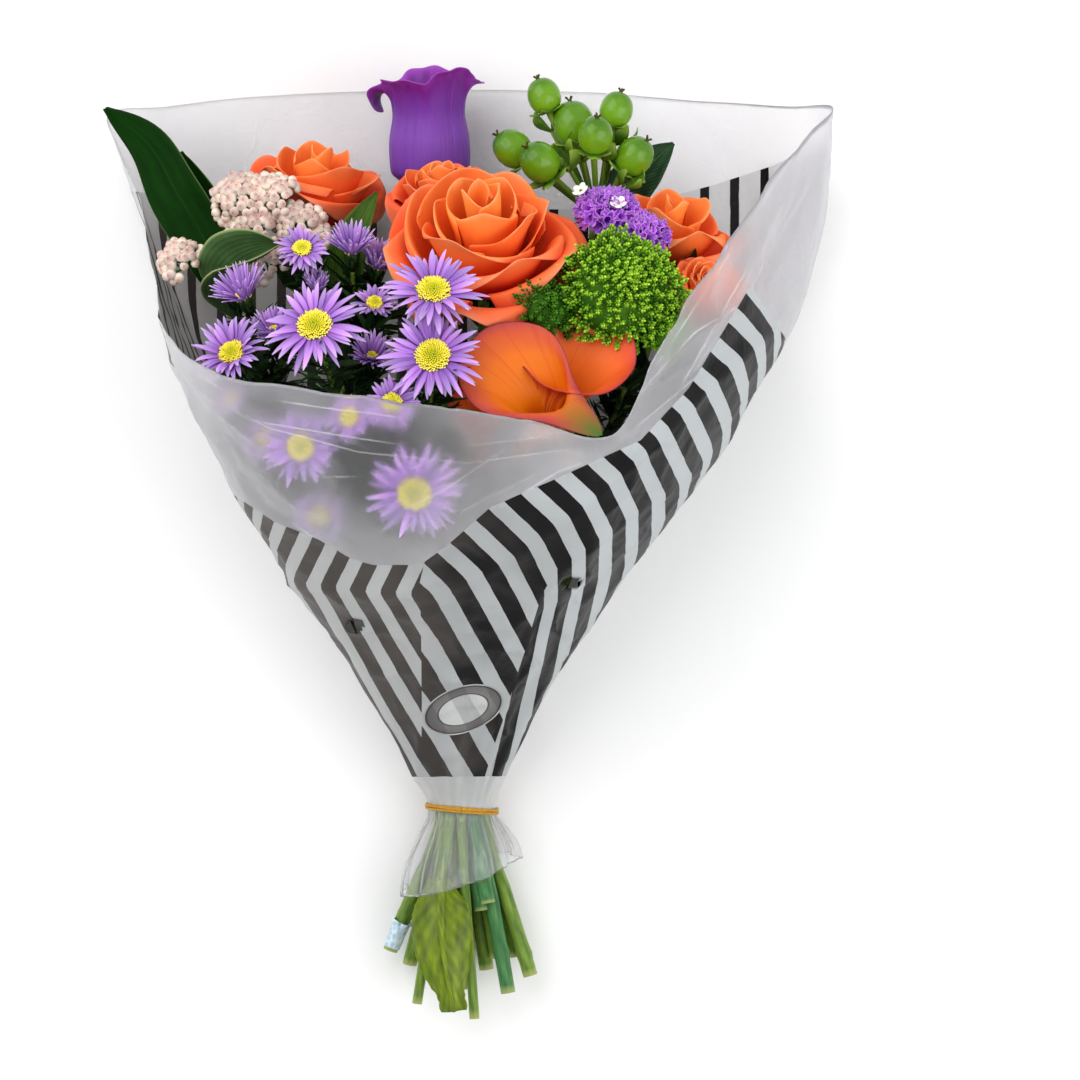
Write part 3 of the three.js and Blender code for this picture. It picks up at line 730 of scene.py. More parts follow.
# %% One recipe for petals
def petal_finish(name, stops, veins=14, hue=0.02, light=0.25, roughness=0.6, relief=0.25, shine=0.2,
                 by_tint=0.0):
    """stops colour a petal from its foot to its rim; veins is the number of streaks across it, hue and
    light how far its tint moves it, and relief how deep its veins are in millimetres. by_tint is how
    much the tint itself, rather than the way along, picks the colour."""
    made, add = new_finish(name)
    own_sheet = add("UVMap", uv_map="sheet")
    along = add("SeparateXYZ", [own_sheet]).outputs["Y"]
    tint = add("SeparateXYZ", [add("UVMap", uv_map="tint")]).outputs["X"]
    drawn = add("Mapping", {"Vector": own_sheet, "Scale": (veins, 2.5, 1)})
    seed = add("Math", [tint, 40.0], operation="MULTIPLY")
    streaks = add("TexNoise", {
        "Vector": drawn, "W": seed, "Scale": 1.0, "Detail": 3.0,
    }, noise_dimensions="4D")
    placed = add("Mix", [by_tint, along, tint])
    shifted = add("Math", [streaks, 0.16, placed], operation="MULTIPLY_ADD")
    centred = add("Math", [shifted, 0.08], operation="SUBTRACT")
    graded = add("ValToRGB", [centred], stops)
    turned = add("Math", [tint, hue, 0.5 - hue / 2], operation="MULTIPLY_ADD")
    lighter = add("Math", [tint, light, 0.93 - light / 2], operation="MULTIPLY_ADD")
    mottled = add("Math", [streaks, 0.14, lighter], operation="MULTIPLY_ADD")
    toned = add("HueSaturation", {"Color": graded, "Hue": turned, "Value": mottled})
    surface(add, streaks, 0.6, relief, {
        "Base Color": toned, "Roughness": roughness, "Specular IOR Level": shine,
    })
    return made


print("petal recipe ready")

# %% [markdown]
# ## Roses
#
# A rose is a spiral: each petal stands 137.5 degrees round from the last, further out and opened wider.
# The innermost ones stand straight up and close over the heart, and the outermost lie back with their
# rims rolled under, which gives the flower its many-cornered outline. So one petal function is enough:
# how far out the petal grew decides its lean, its width and how much its rim rolls.

# %% Growing a rose
GOLDEN_TURN = 2.39996  # 137.5 degrees, in radians
DRAWN_RADIUS = 38


def rose_head(mesh, at, facing, radius, petals, seed, heart):
    """Adds the petals of a rose, drawn for one radius and then scaled to its own."""
    dice = random.Random(seed)
    for number in range(petals):
        grown = number / (petals - 1)
        start = number * GOLDEN_TURN + dice.uniform(-0.2, 0.2) + seed
        reach = 2.4 + 33.6 * grown ** 0.9
        top = 17 - 5 * grown ** 1.5 - 10.0 * grown ** 4 + dice.uniform(-2, 2) * (0.4 + grown)
        foot_out, foot_up = 1 + 7.5 * grown, -27 + 3 * grown
        belly_out = reach * (1.3 - 0.34 * grown)
        belly_up = foot_up + (top - foot_up) * (0.6 - 0.16 * grown)
        half = (1.9 - 0.86 * grown ** 0.5) * dice.uniform(0.94, 1.12)
        roll = (2 + 8.5 * grown ** 1.1) * dice.uniform(0.7, 1.3)
        wave, lean = dice.uniform(0, 6), dice.uniform(-0.8, 0.8)
        point = dice.uniform(0.5, 1.3)
        spiral = 0.2 - 0.12 * grown
        tilt = dice.uniform(-3.2, 3.2) * (0.3 + 0.7 * grown)

        def petal(s, t):
            side = 2 * s - 1
            edge = abs(side)
            rise = t * (1 - 0.1 * edge ** 2.6)
            out = foot_out * (1 - rise) ** 2 + 2 * belly_out * rise * (1 - rise) + reach * rise ** 2
            up = foot_up * (1 - rise) ** 2 + 2 * belly_up * rise * (1 - rise) + top * rise ** 2
            # The rim rolls over most beside the petal's middle, so its middle is left as a point.
            near_rim = max(0, (t - 0.58) / 0.42)
            fold = roll * near_rim ** 1.7 * (0.35 + 1.1 * min(1, abs(side + 0.25 * lean) * 1.5) ** 1.2)
            out += fold * (0.75 - 0.95 * near_rim * point * edge)
            up -= fold * (0.2 + 1.25 * near_rim ** 1.5)
            # Straight sides between the points give the many-cornered outline.
            out *= 1 + 0.11 * near_rim * (cos(1.9 * side + lean) - 0.55) * grown ** 0.5
            out += side * spiral * reach
            up += tilt * side * t * t
            out += 0.9 * sin(5 * side + 6 * t + wave) * t * (0.4 + grown)
            out += 0.4 * sin(3.5 * side + wave) * t ** 3 * (0.4 + 1.8 * grown)
            up += 0.5 * sin(2.6 * side + wave * 1.7) * t ** 3 * (0.5 + grown)
            width = half * (0.55 + 0.45 * sin(pi / 2 * min(1, t * 1.6)))
            width *= 1 - 0.14 * near_rim ** 2
            angle = start + side * width
            return off_axis(angle, out, up)

        tint = min(1, max(0, 0.92 - 0.8 * grown ** 1.3 + dice.uniform(-0.1, 0.1)))
        place = aim(at, facing, size=radius / DRAWN_RADIUS)
        # The heart of a garden rose is seldom in its middle.
        place = Matrix.Translation(Vector(heart) * MM * (1 - grown)) @ place
        shaped_sheet(mesh, 18, 16, petal, place, tint=tint)


# Roses: middle of the head, the way it faces, its radius, its petals, its seed, and how far its heart
# is from its middle.
ROSES = {
    "rose_centre": ((7, 54, 109), (-0.03, 0.74, 0.67), 45.5, 19, 3, (1, 10, 3)),
    "rose_left": ((-66, 87, 48), (0.08, 0.93, 0.36), 33, 13, 5, (0, 2, 0)),
    "rose_back": ((-10, 83, 68), (-0.05, 0.9, 0.4), 24, 18, 8, (0, 0, 0)),
    "rose_right": ((92, 63, 68), (0.12, 0.86, 0.5), 31, 11, 11, (-2, 4, 0)),
    "rose_small": ((107, 37, 93), (0.3, 0.6, 0.68), 17, 36, 14, (0, 0, 0)),
}
rose_finish = petal_finish("orange rose petal", [
    (0.0, "#d2300c"), (0.25, "#f6501a"), (0.55, "#ff7434"), (0.88, "#ff8446"), (1.0, "#ff9c6c"),
], veins=12, hue=0.03, light=0.06, roughness=0.7, relief=0.22, shine=0.1)
for node, rose in ROSES.items():
    rose_mesh = bmesh.new()
    rose_head(rose_mesh, *rose)
    piece_of(rose_mesh, f"{node}_petals", rose_finish, [node], wall=0.5, smooth=1)

# %% [markdown]
# ## Asters
#
# Michaelmas daisies carry forty-odd narrow rays in two rings round a domed yellow disc. Each ray is a
# strip three sections wide with a gutter down the middle and a rounded tip. The disc is packed with
# tiny florets on the same golden-angle spiral as a sunflower. In a flower that is still opening the
# rays stand up like a brush round a disc that hardly shows.

# %% Growing the asters
floret = egg_template("aster floret", 5, 3, lambda t: (0.42 * sin(pi * t), 1.7 * t - 0.6), layer=1)
DISC_RADIUS = 6.4


def aster_head(mesh, at, facing, radius, lift, seed):
    """Adds the rays, disc and calyx of an aster. lift is how far its rays stand up, in degrees."""
    dice = random.Random(seed)
    place = aim(at, facing, turn=seed)
    closed = lift > 40  # still opening: more rays, round a smaller disc
    rays = 66 if closed else 46 if radius > 12 else 34
    seat = DISC_RADIUS * min(1.12, radius / 20) * (0.75 if closed else 1)
    for number in range(rays):
        row = number % 2
        angle = TURN * number / rays + dice.uniform(-0.06, 0.06)
        length = (radius - seat) * dice.uniform(0.74, 1.14) * (1 - 0.1 * row)
        raised = math.radians(lift + 11 * row + dice.uniform(-13, 13))
        droop = dice.uniform(0.05, 0.2) * (0.2 if closed else 1)
        width = dice.uniform(0.95, 1.45) * (0.5 + 0.5 * radius / 20)
        twist = dice.uniform(-0.5, 0.5)
        tip = dice.uniform(-1.6, 1.6)
        if closed:
            length = radius * dice.uniform(0.8, 1.05)
            width *= 0.8

        def ray(s, t):
            side = 2 * s - 1
            half = width * (0.35 + 0.65 * sin(pi / 2 * min(1, t * 1.8)))
            half *= max(0.02, 1 - max(0, (t - 0.4) / 0.6) ** 2) ** 0.62
            out = seat * 0.8 + length * t * cos(raised - droop * t * 2)
            up = 1.0 + row * 0.5 + length * t * sin(raised - droop * t * 2) + 0.45 * abs(side) * half
            across = side * half + tip * t * t
            up += side * half * twist * t
            return off_axis(angle, out, up, across)

        shaped_sheet(mesh, 2, 8, ray, place, tint=dice.uniform(0, 1))
    florets = int(190 * (seat / DISC_RADIUS) ** 1.3)
    heads = []
    for number in range(florets):
        out = seat * math.sqrt((number + 0.5) / florets)
        angle = number * GOLDEN_TURN
        height = 1.0 + 2.2 * (1 - (out / seat) ** 2)
        height += (1.3 if out > 0.62 * seat else 0) * dice.uniform(0.1, 1)
        spot = Vector(off_axis(angle, out, height))
        lean_x, lean_z = (spot[axis] * 0.12 + dice.uniform(-0.2, 0.2) for axis in (0, 2))
        lean = Vector((lean_x, 1, lean_z))
        swing = Vector((0, 1, 0)).rotation_difference(lean).to_matrix().to_4x4()
        heads.append((place @ Matrix.Translation(spot) @ swing, out / seat * dice.uniform(0.75, 1)))
    scatter(mesh, floret, heads)
    # The calyx is a green cup with pointed scales under the rays.
    shaped_sheet(mesh, 12, 6, lambda s, t: rolled_at(
        s, 1.1 + (seat * 0.85 - 1.1) * sin(pi / 2 * t), -8 + 9.2 * t,
    ), place, rolled=True, layer=2)
    for number in range(18):
        angle = TURN * (number + 0.5 * (number % 2)) / 18
        low = -6 + 2.4 * (number % 3)

        def scale(s, t):
            out = 1.6 + (seat * 0.95 - 1.6) * min(1, (low + 8 + 5 * t) / 8.5) + 0.5
            across = (2 * s - 1) * 0.8 * (1 - t ** 2)
            return off_axis(angle, out, low + 4.6 * t, across)

        shaped_sheet(mesh, 2, 3, scale, place, tint=dice.uniform(0, 1), layer=2)


# The blooms of every aster node: place, facing, radius, and how many degrees the rays stand up. Some
# nodes have a second bloom deeper in the bag, which shows only as a lilac haze through the film.
ASTERS = {
    "aster_top_head_1": [((-68, 50, 112), (0, 0.55, 0.8), 13, 22)],
    "aster_top_head_2": [((-47, 49, 108), (0, 0.8, 0.55), 13, 54)],
    "aster_top_head_3": [
        ((-62, 33, 108), (0, 0.7, 0.6), 9, 70), ((-36, 43, 102), (0.2, 0.7, 0.6), 12, 58),
    ],
    "aster_left_head_1": [
        ((-92, 29, 118), (-0.35, 0.75, 0.5), 14, 50), ((-79, 14, 120), (-0.1, 0.6, 0.75), 11, 52),
    ],
    "aster_left_head_2": [
        ((-96, 5, 130), (-0.3, 0.45, 0.8), 18, 36), ((-96, -14, 127), (-0.4, 0.3, 0.9), 9, 30),
    ],
    "aster_mid_head_1": [((-60, 15, 156), (-0.1, 0.5, 0.86), 23.5, 10)],
    "aster_mid_head_2": [
        ((-37, 26, 120), (0.1, 0.6, 0.75), 11, 35), ((-38, 3, 124), (0.1, 0.5, 0.8), 11, 52),
    ],
    "aster_low_head_1": [
        ((-66.6, -33.8, 139.5), (-0.16, -0.16, 0.97), 18, 18),
        ((-82, -30, 122), (-0.4, -0.1, 0.9), 12, 30), ((-60, -62, 112), (-0.2, -0.3, 0.9), 14, 30),
    ],
    "aster_right_head_1": [((-11, 29.5, 154), (0.05, 0.6, 0.8), 23, 20)],
    "aster_right_head_2": [((-11, 2.5, 160), (0, 0.35, 0.93), 23, 6)],
    "aster_right_head_3": [
        ((-28, -16, 148), (-0.1, 0.05, 0.95), 13, 16), ((-46, -22, 147), (-0.1, 0.1, 0.95), 12, 24),
    ],
    "aster_right_head_4": [((-19, -53, 144), (0, -0.35, 0.93), 22.5, 10)],
}
aster_finish = petal_finish("lilac aster ray", [
    (0.0, "#7c4cae"), (0.2, "#9c68c8"), (0.55, "#b888dc"), (0.88, "#caa4e6"), (1.0, "#dcc4f2"),
], veins=6, hue=0.03, light=0.46, roughness=0.75, relief=0.2, shine=0.12)
disc_finish = petal_finish("yellow aster disc", [
    (0.0, "#b2c01e"), (0.35, "#dcd830"), (0.6, "#fff04a"), (1.0, "#fff896"),
], veins=3, hue=0.0, light=0.05, roughness=0.7, by_tint=0.8)
calyx_finish = petal_finish("green aster calyx", [
    (0.0, "#12280c"), (0.6, "#243f18"), (1.0, "#406226"),
], veins=6, hue=0.02, light=0.3, roughness=0.6)
for count_of, (node, blooms) in enumerate(ASTERS.items()):
    aster_mesh = bmesh.new()
    for number, (at, facing, radius, lift) in enumerate(blooms):
        aster_head(aster_mesh, at, facing, radius, lift, 20 + count_of + 50 * number)
    finishes = [aster_finish, disc_finish, calyx_finish]
    piece_of(aster_mesh, f"{node}_bloom", finishes, [node], wall=0.22)

# %% [markdown]
# ## Bell flower
#
# A Canterbury bell is one petal: a tube with five ribs that opens into five lobes, each rolled outwards
# at its rim. The tube is a rolled grid. Its mouth is scalloped by making the grid taller at the middle
# of each lobe, and the last quarter of the height is bent outwards and back down.

# %% Bell flower
BELL_FOOT, BELL_FACING = (-15.5, 84, 34), (-0.02, 1, 0.2)
# Each lobe: how far it rises above the notch beside it, how far round its rim curls in radians, the
# length of rim that curls, and how blunt it is.
BELL_LOBES = [
    (7, 1.3, 12, 3.0), (2, 2.2, 13, 1.2), (5, 1.2, 12, 2.4), (0, 4.6, 20, 1.3), (3, 1.6, 13, 2.6),
]


def bell_shape(s, t):
    angle = TURN * s
    number = int(s * 5) % 5
    middle = 2 * (s * 5 - int(s * 5)) - 1 if s < 1 else -1
    rise, curl, rim, blunt = BELL_LOBES[number]
    crown = 1 - abs(middle) ** blunt
    tube = 2.5 + 14.3 * min(1, t / 0.14) ** 0.55
    tube += 0.9 * sin(pi * min(1, t / 0.62)) - 1.2 * exp(-((t - 0.62) / 0.14) ** 2)
    flare = max(0, (t - 0.72) / 0.28)
    bent = 0.9 + (curl - 0.9) * crown
    length = 11 + (rim - 11) * crown
    out = tube + 0.5 * cos(5 * angle) * min(1, t * 3) + 0.25 * sin(17 * angle) * t
    out += length / bent * (1 - cos(bent * flare))
    up = 54 * min(t, 0.72) + length / bent * sin(bent * flare) + rise * crown * min(1, flare * 1.5)
    out += 0.7 * sin(14 * angle + 2) * flare
    up += 0.6 * sin(11 * angle) * flare ** 2
    return off_axis(angle, out, up)


bell_mesh = bmesh.new()
shaped_sheet(bell_mesh, 80, 30, bell_shape, aim(BELL_FOOT, BELL_FACING), rolled=True)
bmesh.ops.contextual_create(bell_mesh, geom=[
    edge for edge in bell_mesh.edges if edge.is_boundary and edge.verts[0].co.y < 0.088
])
bell_finish = petal_finish("violet bell petal", [
    (0.0, "#8a6cbc"), (0.14, "#6a3aa6"), (0.45, "#7a42ae"), (0.7, "#6c289a"), (0.86, "#741b8c"),
    (1.0, "#9a3cb6"),
], veins=38, hue=0.0, light=0.0, roughness=0.5, relief=1.8, shine=0.35)
piece_of(bell_mesh, "bell_petal", bell_finish, ["bell_flower"], wall=0.6, smooth=1)

# %% [markdown]
# ## Calla lilies
#
# A calla's spathe is one leaf rolled into a funnel, one edge lapped over the other, with its rim turned
# outwards and drawn out to a green point where the edges meet. So the sheet goes a little more than
# once round, and is not joined. It opens like a trumpet, stands higher at the back, and its rim rolls
# over most in front. Its two sides have different colours, which the Solidify modifier can give: the
# wall that it adds takes the next finish. The yellow finger of the spadix stands in the throat.

# %% Calla spathes
# Foot, facing, length, mouth radius, how much higher the back stands, the way the tip points, how far
# the tip is drawn out, how far the front rim rolls, and how far the throat is to one side.
CALLAS = {
    "calla_front": ((24, -40, 118), (-0.03, 0.72, 0.69), 51, 20, 9, 0.95, 24, 3.4, 14),
    "calla_right": ((46, -44, 101), (0.06, 0.78, 0.62), 62, 22, 10, -1.8, 4, 2.2, -8),
    "calla_small": ((7, -44, 94), (0.02, 0.75, 0.66), 38, 11, 4, 2.6, 4, 2.0, 0),
}


def calla_spathe(mesh, foot, facing, length, mouth, slant, tip_at, tip, roll, throat):
    def spathe(s, t):
        angle = tip_at + (s * 1.08 - 0.04) * TURN
        off_tip = abs(math.remainder(angle - tip_at, TURN))
        near_tip = exp(-(off_tip / 0.3) ** 1.3)
        back = -cos(angle)
        rim = max(0, (t - 0.78) / 0.22)
        out = 2.9 + (mouth - 2.9) * t ** 2.1 * (1 + 0.14 * back) + 0.6 * s
        up = t * (length + slant * max(0, back) * t)
        out += rim ** 1.6 * (1.2 + tip * near_tip + roll * (1 - back) / 2)
        up -= rim ** 2.4 * (0.8 + 0.45 * tip * near_tip + 0.7 * roll * (1 - back))
        out += 0.5 * sin(3 * angle + 1) * t ** 3
        up += 0.5 * sin(5 * angle + 2) * t ** 4
        aside = throat * sin(pi * t ** 1.35) ** 1.4
        return out * sin(angle) + aside, up, out * cos(angle) + 0.5 * abs(aside)

    shaped_sheet(mesh, 56, 30, spathe, aim(foot, facing), tint=0.5)

    def spadix(s, t):
        climb = 0.14 + 0.28 * t
        x, up, z = rolled_at(s, 2.2 * sin(pi * min(0.97, 0.25 + 0.75 * t)), climb * length)
        aside = sin(pi * climb ** 1.35) ** 1.4
        return x + throat * aside, up, z + 0.5 * abs(throat) * aside

    shaped_sheet(mesh, 10, 10, spadix, aim(foot, facing), rolled=True, layer=2)


def calla_finish(name, from_foot_to_rim, streak_stops, streaky):
    """A ramp from foot to rim, multiplied by fine streaks, with a green point where the edges meet."""
    made, add = new_finish(name)
    own_sheet = add("UVMap", uv_map="sheet")
    parts = add("SeparateXYZ", [own_sheet]).outputs
    drawn = add("Mapping", {"Vector": own_sheet, "Scale": (70, 1.6, 1)})
    streaks = add("TexNoise", {"Vector": drawn, "Scale": 1.0, "Detail": 4.0, "Distortion": 0.3})
    blotches = add("TexNoise", {"Vector": own_sheet, "Scale": 6.0, "Detail": 2.0})
    wobble = add("Math", [blotches, 0.12, parts["Y"]], operation="MULTIPLY_ADD")
    centred = add("Math", [wobble, 0.07], operation="SUBTRACT")
    graded = add("ValToRGB", [centred], from_foot_to_rim)
    veined = add("ValToRGB", [streaks], streak_stops)
    skin = add("Mix", [streaky, graded, veined], data_type="RGBA", blend_type="MULTIPLY")
    # Both edges of the sheet end in the tip, so the distance from it needs only half the sheet.
    off_middle = add("Math", [parts["X"], 0.5], operation="SUBTRACT")
    half = add("Math", [off_middle], operation="ABSOLUTE")
    spot = add("CombineXYZ", [half, parts["Y"]])
    off_tip = add("VectorMath", [spot, (0.46, 1.0, 0)], operation="SUBTRACT")
    squeezed = add("VectorMath", [off_tip, (20.0, 5.0, 0)], operation="MULTIPLY")
    near = add("VectorMath", [squeezed], operation="LENGTH")
    greenness = add("ValToRGB", [near], [(0.0, "#ffffff"), (0.4, "#c0c0c0"), (1.0, "#000000")])
    greened = add("Mix", [greenness, skin, "#3f6b1f"], data_type="RGBA")
    surface(add, streaks, 0.3, 0.12, {
        "Base Color": greened, "Roughness": 0.45, "Specular IOR Level": 0.3,
    })
    return made


faint_streaks = [(0.3, "#f0a468"), (0.46, "#ffffff"), (0.7, "#fff2d8")]
inside_finish = calla_finish("orange calla inside", [
    (0.0, "#b87006"), (0.3, "#e08004"), (0.65, "#e67c04"), (0.84, "#e67210"), (0.94, "#d2542a"),
    (1.0, "#a63844"),
], faint_streaks, 0.45)
red_inside_finish = calla_finish("red-orange calla inside", [
    (0.0, "#d08a10"), (0.3, "#ff9020"), (0.65, "#ff8428"), (0.86, "#fc702c"), (0.95, "#ec5630"),
    (1.0, "#c04450"),
], faint_streaks, 0.45)
outside_finish = calla_finish("streaked calla outside", [
    (0.0, "#8fa032"), (0.25, "#e0a838"), (0.75, "#e8a040"), (0.9, "#c2552e"), (1.0, "#8c2c3c"),
], [(0.32, "#a83a28"), (0.47, "#f08a40"), (0.58, "#ffe8b0"), (0.8, "#fff6c8")], 0.8)
spadix_finish = petal_finish("yellow spadix", [
    (0.0, "#c98a12"), (1.0, "#f2b52a"),
], veins=40, hue=0.0, light=0.0, roughness=0.8, relief=0.4)
for node, calla in CALLAS.items():
    calla_mesh = bmesh.new()
    calla_spathe(calla_mesh, *calla)
    inside = inside_finish if node == "calla_front" else red_inside_finish
    spathe_piece = piece_of(calla_mesh, f"{node}_spathe", [outside_finish, inside, spadix_finish],
                            [node], wall=0.7, smooth=1)
    spathe_piece.modifiers["wall"].material_offset = 1

# %% [markdown]
# ## Hypericum berries
#
# Seven waxy berries stand on short twigs. Each is an egg with three faint ribs and the dry brown tip of
# the flower on top, in a collar of five small leaves. The leaves are sheets, and the twigs are tubes
# from one fork.

# %% Berries, collars and twigs
BERRY_HEART = Vector((54, 70, 52))
BERRY_FORK = Vector((58, 70, 56))
BERRIES = [
    ((35, 123, 58), 7.2), ((48, 111, 57), 9), ((67, 117, 58), 7.2), ((57.5, 104, 74), 7.6),
    ((21, 99.5, 60), 8), ((33, 92.5, 72), 8.4), ((75, 96, 64), 8),
]
berry_mesh = bmesh.new()
dice = random.Random(7)
for at, radius in BERRIES:
    outward_way = (Vector(at) - BERRY_HEART).normalized()
    spot = aim(at, outward_way, size=radius)

    def berry(s, t):
        out = sin(pi * t ** 0.94) ** 0.82 * (1 + 0.025 * cos(3 * TURN * s))
        return rolled_at(s, out, -1.02 * cos(pi * t) * 1.06)

    shaped_sheet(berry_mesh, 30, 18, berry, spot, rolled=True, tint=dice.uniform(0, 1))
    for number in range(3):
        angle = TURN * number / 3 + radius
        tip = [off_axis(angle, out, up) for out, up in ((0.03, 1.04), (0.1, 1.2), (0.2, 1.3))]
        tube_along(berry_mesh, [spot @ Vector(point) / MM for point in tip], 0.35, 5, 4, layer=2)
    for number in range(5):
        angle = TURN * number / 5 + radius
        spread = dice.uniform(0.95, 1.3)

        def collar(s, t):
            across = (2 * s - 1) * 0.42 * sin(pi * (0.12 + 0.8 * t)) ** 0.8
            out = 0.15 + 0.95 * t * spread
            up = -0.98 + 0.28 * t ** 2 - 0.12 * t - 0.1 * abs(2 * s - 1)
            return off_axis(angle, out, up, across)

        shaped_sheet(berry_mesh, 4, 6, collar, spot, tint=dice.uniform(0, 1), layer=1)
    foot = Vector(at) - outward_way * 0.95 * radius
    low = BERRY_FORK.lerp(Vector(at), 0.35)
    low.z -= 2
    tube_along(berry_mesh, [BERRY_FORK, low, foot], lambda t, angle: 1.1 + 0.5 * t ** 6, 8, 14, layer=1)
bmesh.ops.remove_doubles(berry_mesh, verts=berry_mesh.verts, dist=1e-6)

# Half-open collars without a berry fill the heart of the spray.
for at, facing, size in [
    ((52, 98, 66), (-0.1, 0.9, 0.5), 8.5), ((45, 93, 68), (-0.3, 0.8, 0.6), 8.5),
    ((63, 98, 64), (0.3, 0.8, 0.5), 8), ((37, 112, 50), (-0.4, 0.9, 0.2), 7),
    ((68, 106, 54), (0.5, 0.8, 0.3), 8), ((72, 85, 66), (0.5, 0.6, 0.6), 7),
]:
    spot = aim(at, facing, size=size)
    for number in range(4):
        angle = TURN * number / 4 + size
        shaped_sheet(berry_mesh, 4, 7, lambda s, t: off_axis(
            angle, 0.1 + 0.75 * sin(t * 2.2), -0.6 + 1.5 * t,
            (2 * s - 1) * 0.4 * sin(pi * (0.08 + 0.84 * t)),
        ), spot, tint=dice.uniform(0, 0.5), layer=1)
    middle = BERRY_FORK.lerp(Vector(at), 0.5) - Vector((0, 0, 2))
    tube_along(berry_mesh, [BERRY_FORK, middle, Vector(at) - Vector(facing) * 3], 0.9, 7, 8, layer=1)

# The waxy skin is smooth and slightly mottled, so it shows small sharp highlights.
berry_finish, add = new_finish("waxy green berry skin")
berry_place = add("TexCoord").outputs["Object"]
berry_sheet = add("UVMap", uv_map="sheet")
berry_along = add("SeparateXYZ", [berry_sheet]).outputs["Y"]
berry_mottle = add("TexNoise", {"Vector": berry_place, "Scale": 260.0, "Detail": 3.0})
berry_tone = add("Math", [berry_mottle, 0.3, berry_along], operation="MULTIPLY_ADD")
berry_colour = add("ValToRGB", [berry_tone], [
    (0.1, "#a4c838"), (0.35, "#7eae20"), (0.75, "#629414"), (1.0, "#46760c"),
])
surface(add, berry_mottle, 0.12, 0.2, {
    "Base Color": berry_colour, "Roughness": 0.14, "Specular IOR Level": 0.4,
})
collar_finish = petal_finish("green hypericum collar", [
    (0.0, "#7fa22e"), (0.5, "#4f7d1e"), (1.0, "#86a838"),
], veins=7, hue=0.02, light=0.5, roughness=0.5)
tip_finish = petal_finish("dry brown flower tip", [
    (0.0, "#5b6a1e"), (1.0, "#3d2414"),
], veins=4, light=0.0)
piece_of(berry_mesh, "hypericum_berry_spray", [berry_finish, collar_finish, tip_finish],
         ["hypericum_berries"], wall=0.3)

# %% [markdown]
# ## Small-flowered heads
#
# The green head, the statice and the rice flower are made of hundreds of tiny bodies. One small body is
# shaped once and copied to places on a dome, so that each head has the real number of buds. The places
# follow the golden-angle spiral again, which spreads them evenly without looking like a grid.

# %% Places on a dome
def dome_places(centre, facing, radius, height, number, dice, roughness=0.0):
    """Gives evenly spread places on a dome with the way out of the dome at each of them."""
    turn = Vector((0, 1, 0)).rotation_difference(Vector(facing).normalized()).to_matrix()
    spots = []
    for count in range(number):
        share = (count + 0.5) / number
        out = sin(share * pi * 0.56)
        angle = count * GOLDEN_TURN
        swell = 1 + roughness * noise.noise(Vector((out * sin(angle), out * cos(angle), radius)) * 2.2)
        local = Vector(off_axis(angle, radius * out, height * cos(share * pi * 0.56))) * swell
        way = Vector((local.x / radius ** 2, local.y / height ** 2, local.z / radius ** 2)).normalized()
        way = (way + Vector([dice.uniform(-0.25, 0.25) for axis in range(3)])).normalized()
        spots.append((Vector(centre) + turn @ local, (turn @ way).normalized()))
    return spots


green_bud = egg_template("green bud", 5, 3, lambda t: (0.62 * sin(pi * t ** 0.9) ** 0.8, 1.9 * t - 0.9))
green_mesh = bmesh.new()
dice = random.Random(41)
GREEN_AT, GREEN_FACING = Vector((67, 32, 120)), (0.25, 0.35, 0.9)
# Lobes: shift from the middle, radius, height, number of sprigs, how bright. The two lobes towards the
# callas are darker, which paints the shade that falls between the head and the callas.
GREEN_LOBES = [
    ((0.5, 0, 0), 26, 19, 390, 1.0), ((-31, -8, 10), 11, 9, 66, 0.4), ((-22, -8, 0), 11, 8, 50, 0.5),
    ((20, -17, 2), 10, 8, 44, 0.9),
]
buds = []
for shift, radius, height, sprigs, bright in GREEN_LOBES:
    lobe = (GREEN_AT + Vector(shift), GREEN_FACING, radius * 0.9, height * 0.86)
    for spot, way in dome_places(*lobe, sprigs, dice, 0.2):
        side = way.orthogonal().normalized()
        spot += Vector([dice.gauss(0, 1.1) for axis in range(3)])
        length = dice.uniform(2.8, 6.6)
        for bud in range(11):
            climb = bud / 10
            around = Matrix.Rotation(bud * GOLDEN_TURN, 3, way)
            lean = around @ side
            at = spot + way * length * (climb - 0.35) + lean * 1.5 * (1 - climb * 0.75)
            facing = way + lean * (0.8 - 0.6 * climb)
            tint = bright * (0.35 + 0.65 * climb) * dice.uniform(0.75, 1)
            buds.append((aim(at, facing, size=dice.uniform(0.8, 1.15)), tint))
scatter(green_mesh, green_bud, buds)
# A darker core closes the gaps between the sprigs: a dark body that paints the shade deep inside the
# head.
for shift, radius, height, sprigs, bright in GREEN_LOBES:
    shaped_sheet(green_mesh, 20, 10, lambda s, t: rolled_at(
        s, radius * 0.82 * sin(pi * t) ** 0.9,
        (height * 0.72 if t > 0.5 else radius * 0.75) * -cos(pi * t),
    ), aim(GREEN_AT + Vector(shift), GREEN_FACING), rolled=True, tint=0.3 * bright)
bmesh.ops.remove_doubles(green_mesh, verts=green_mesh.verts, dist=1e-7)
green_finish = petal_finish("fresh green bud", [
    (0.0, "#23480a"), (0.4, "#437a12"), (0.75, "#76aa20"), (1.0, "#b2d844"),
], veins=2, hue=-0.02, light=0.7, roughness=0.7, by_tint=0.7)
piece_of(green_mesh, "green_bud_head", green_finish, ["green_cluster"])
print("green buds:", len(buds))

# %% [markdown]
# Statice florets are little papery funnels with ruffled rims. Rice flower is the opposite, hard round
# buds the size of a rice grain, cream with a pink blush, in tight bunches on thin stalks.

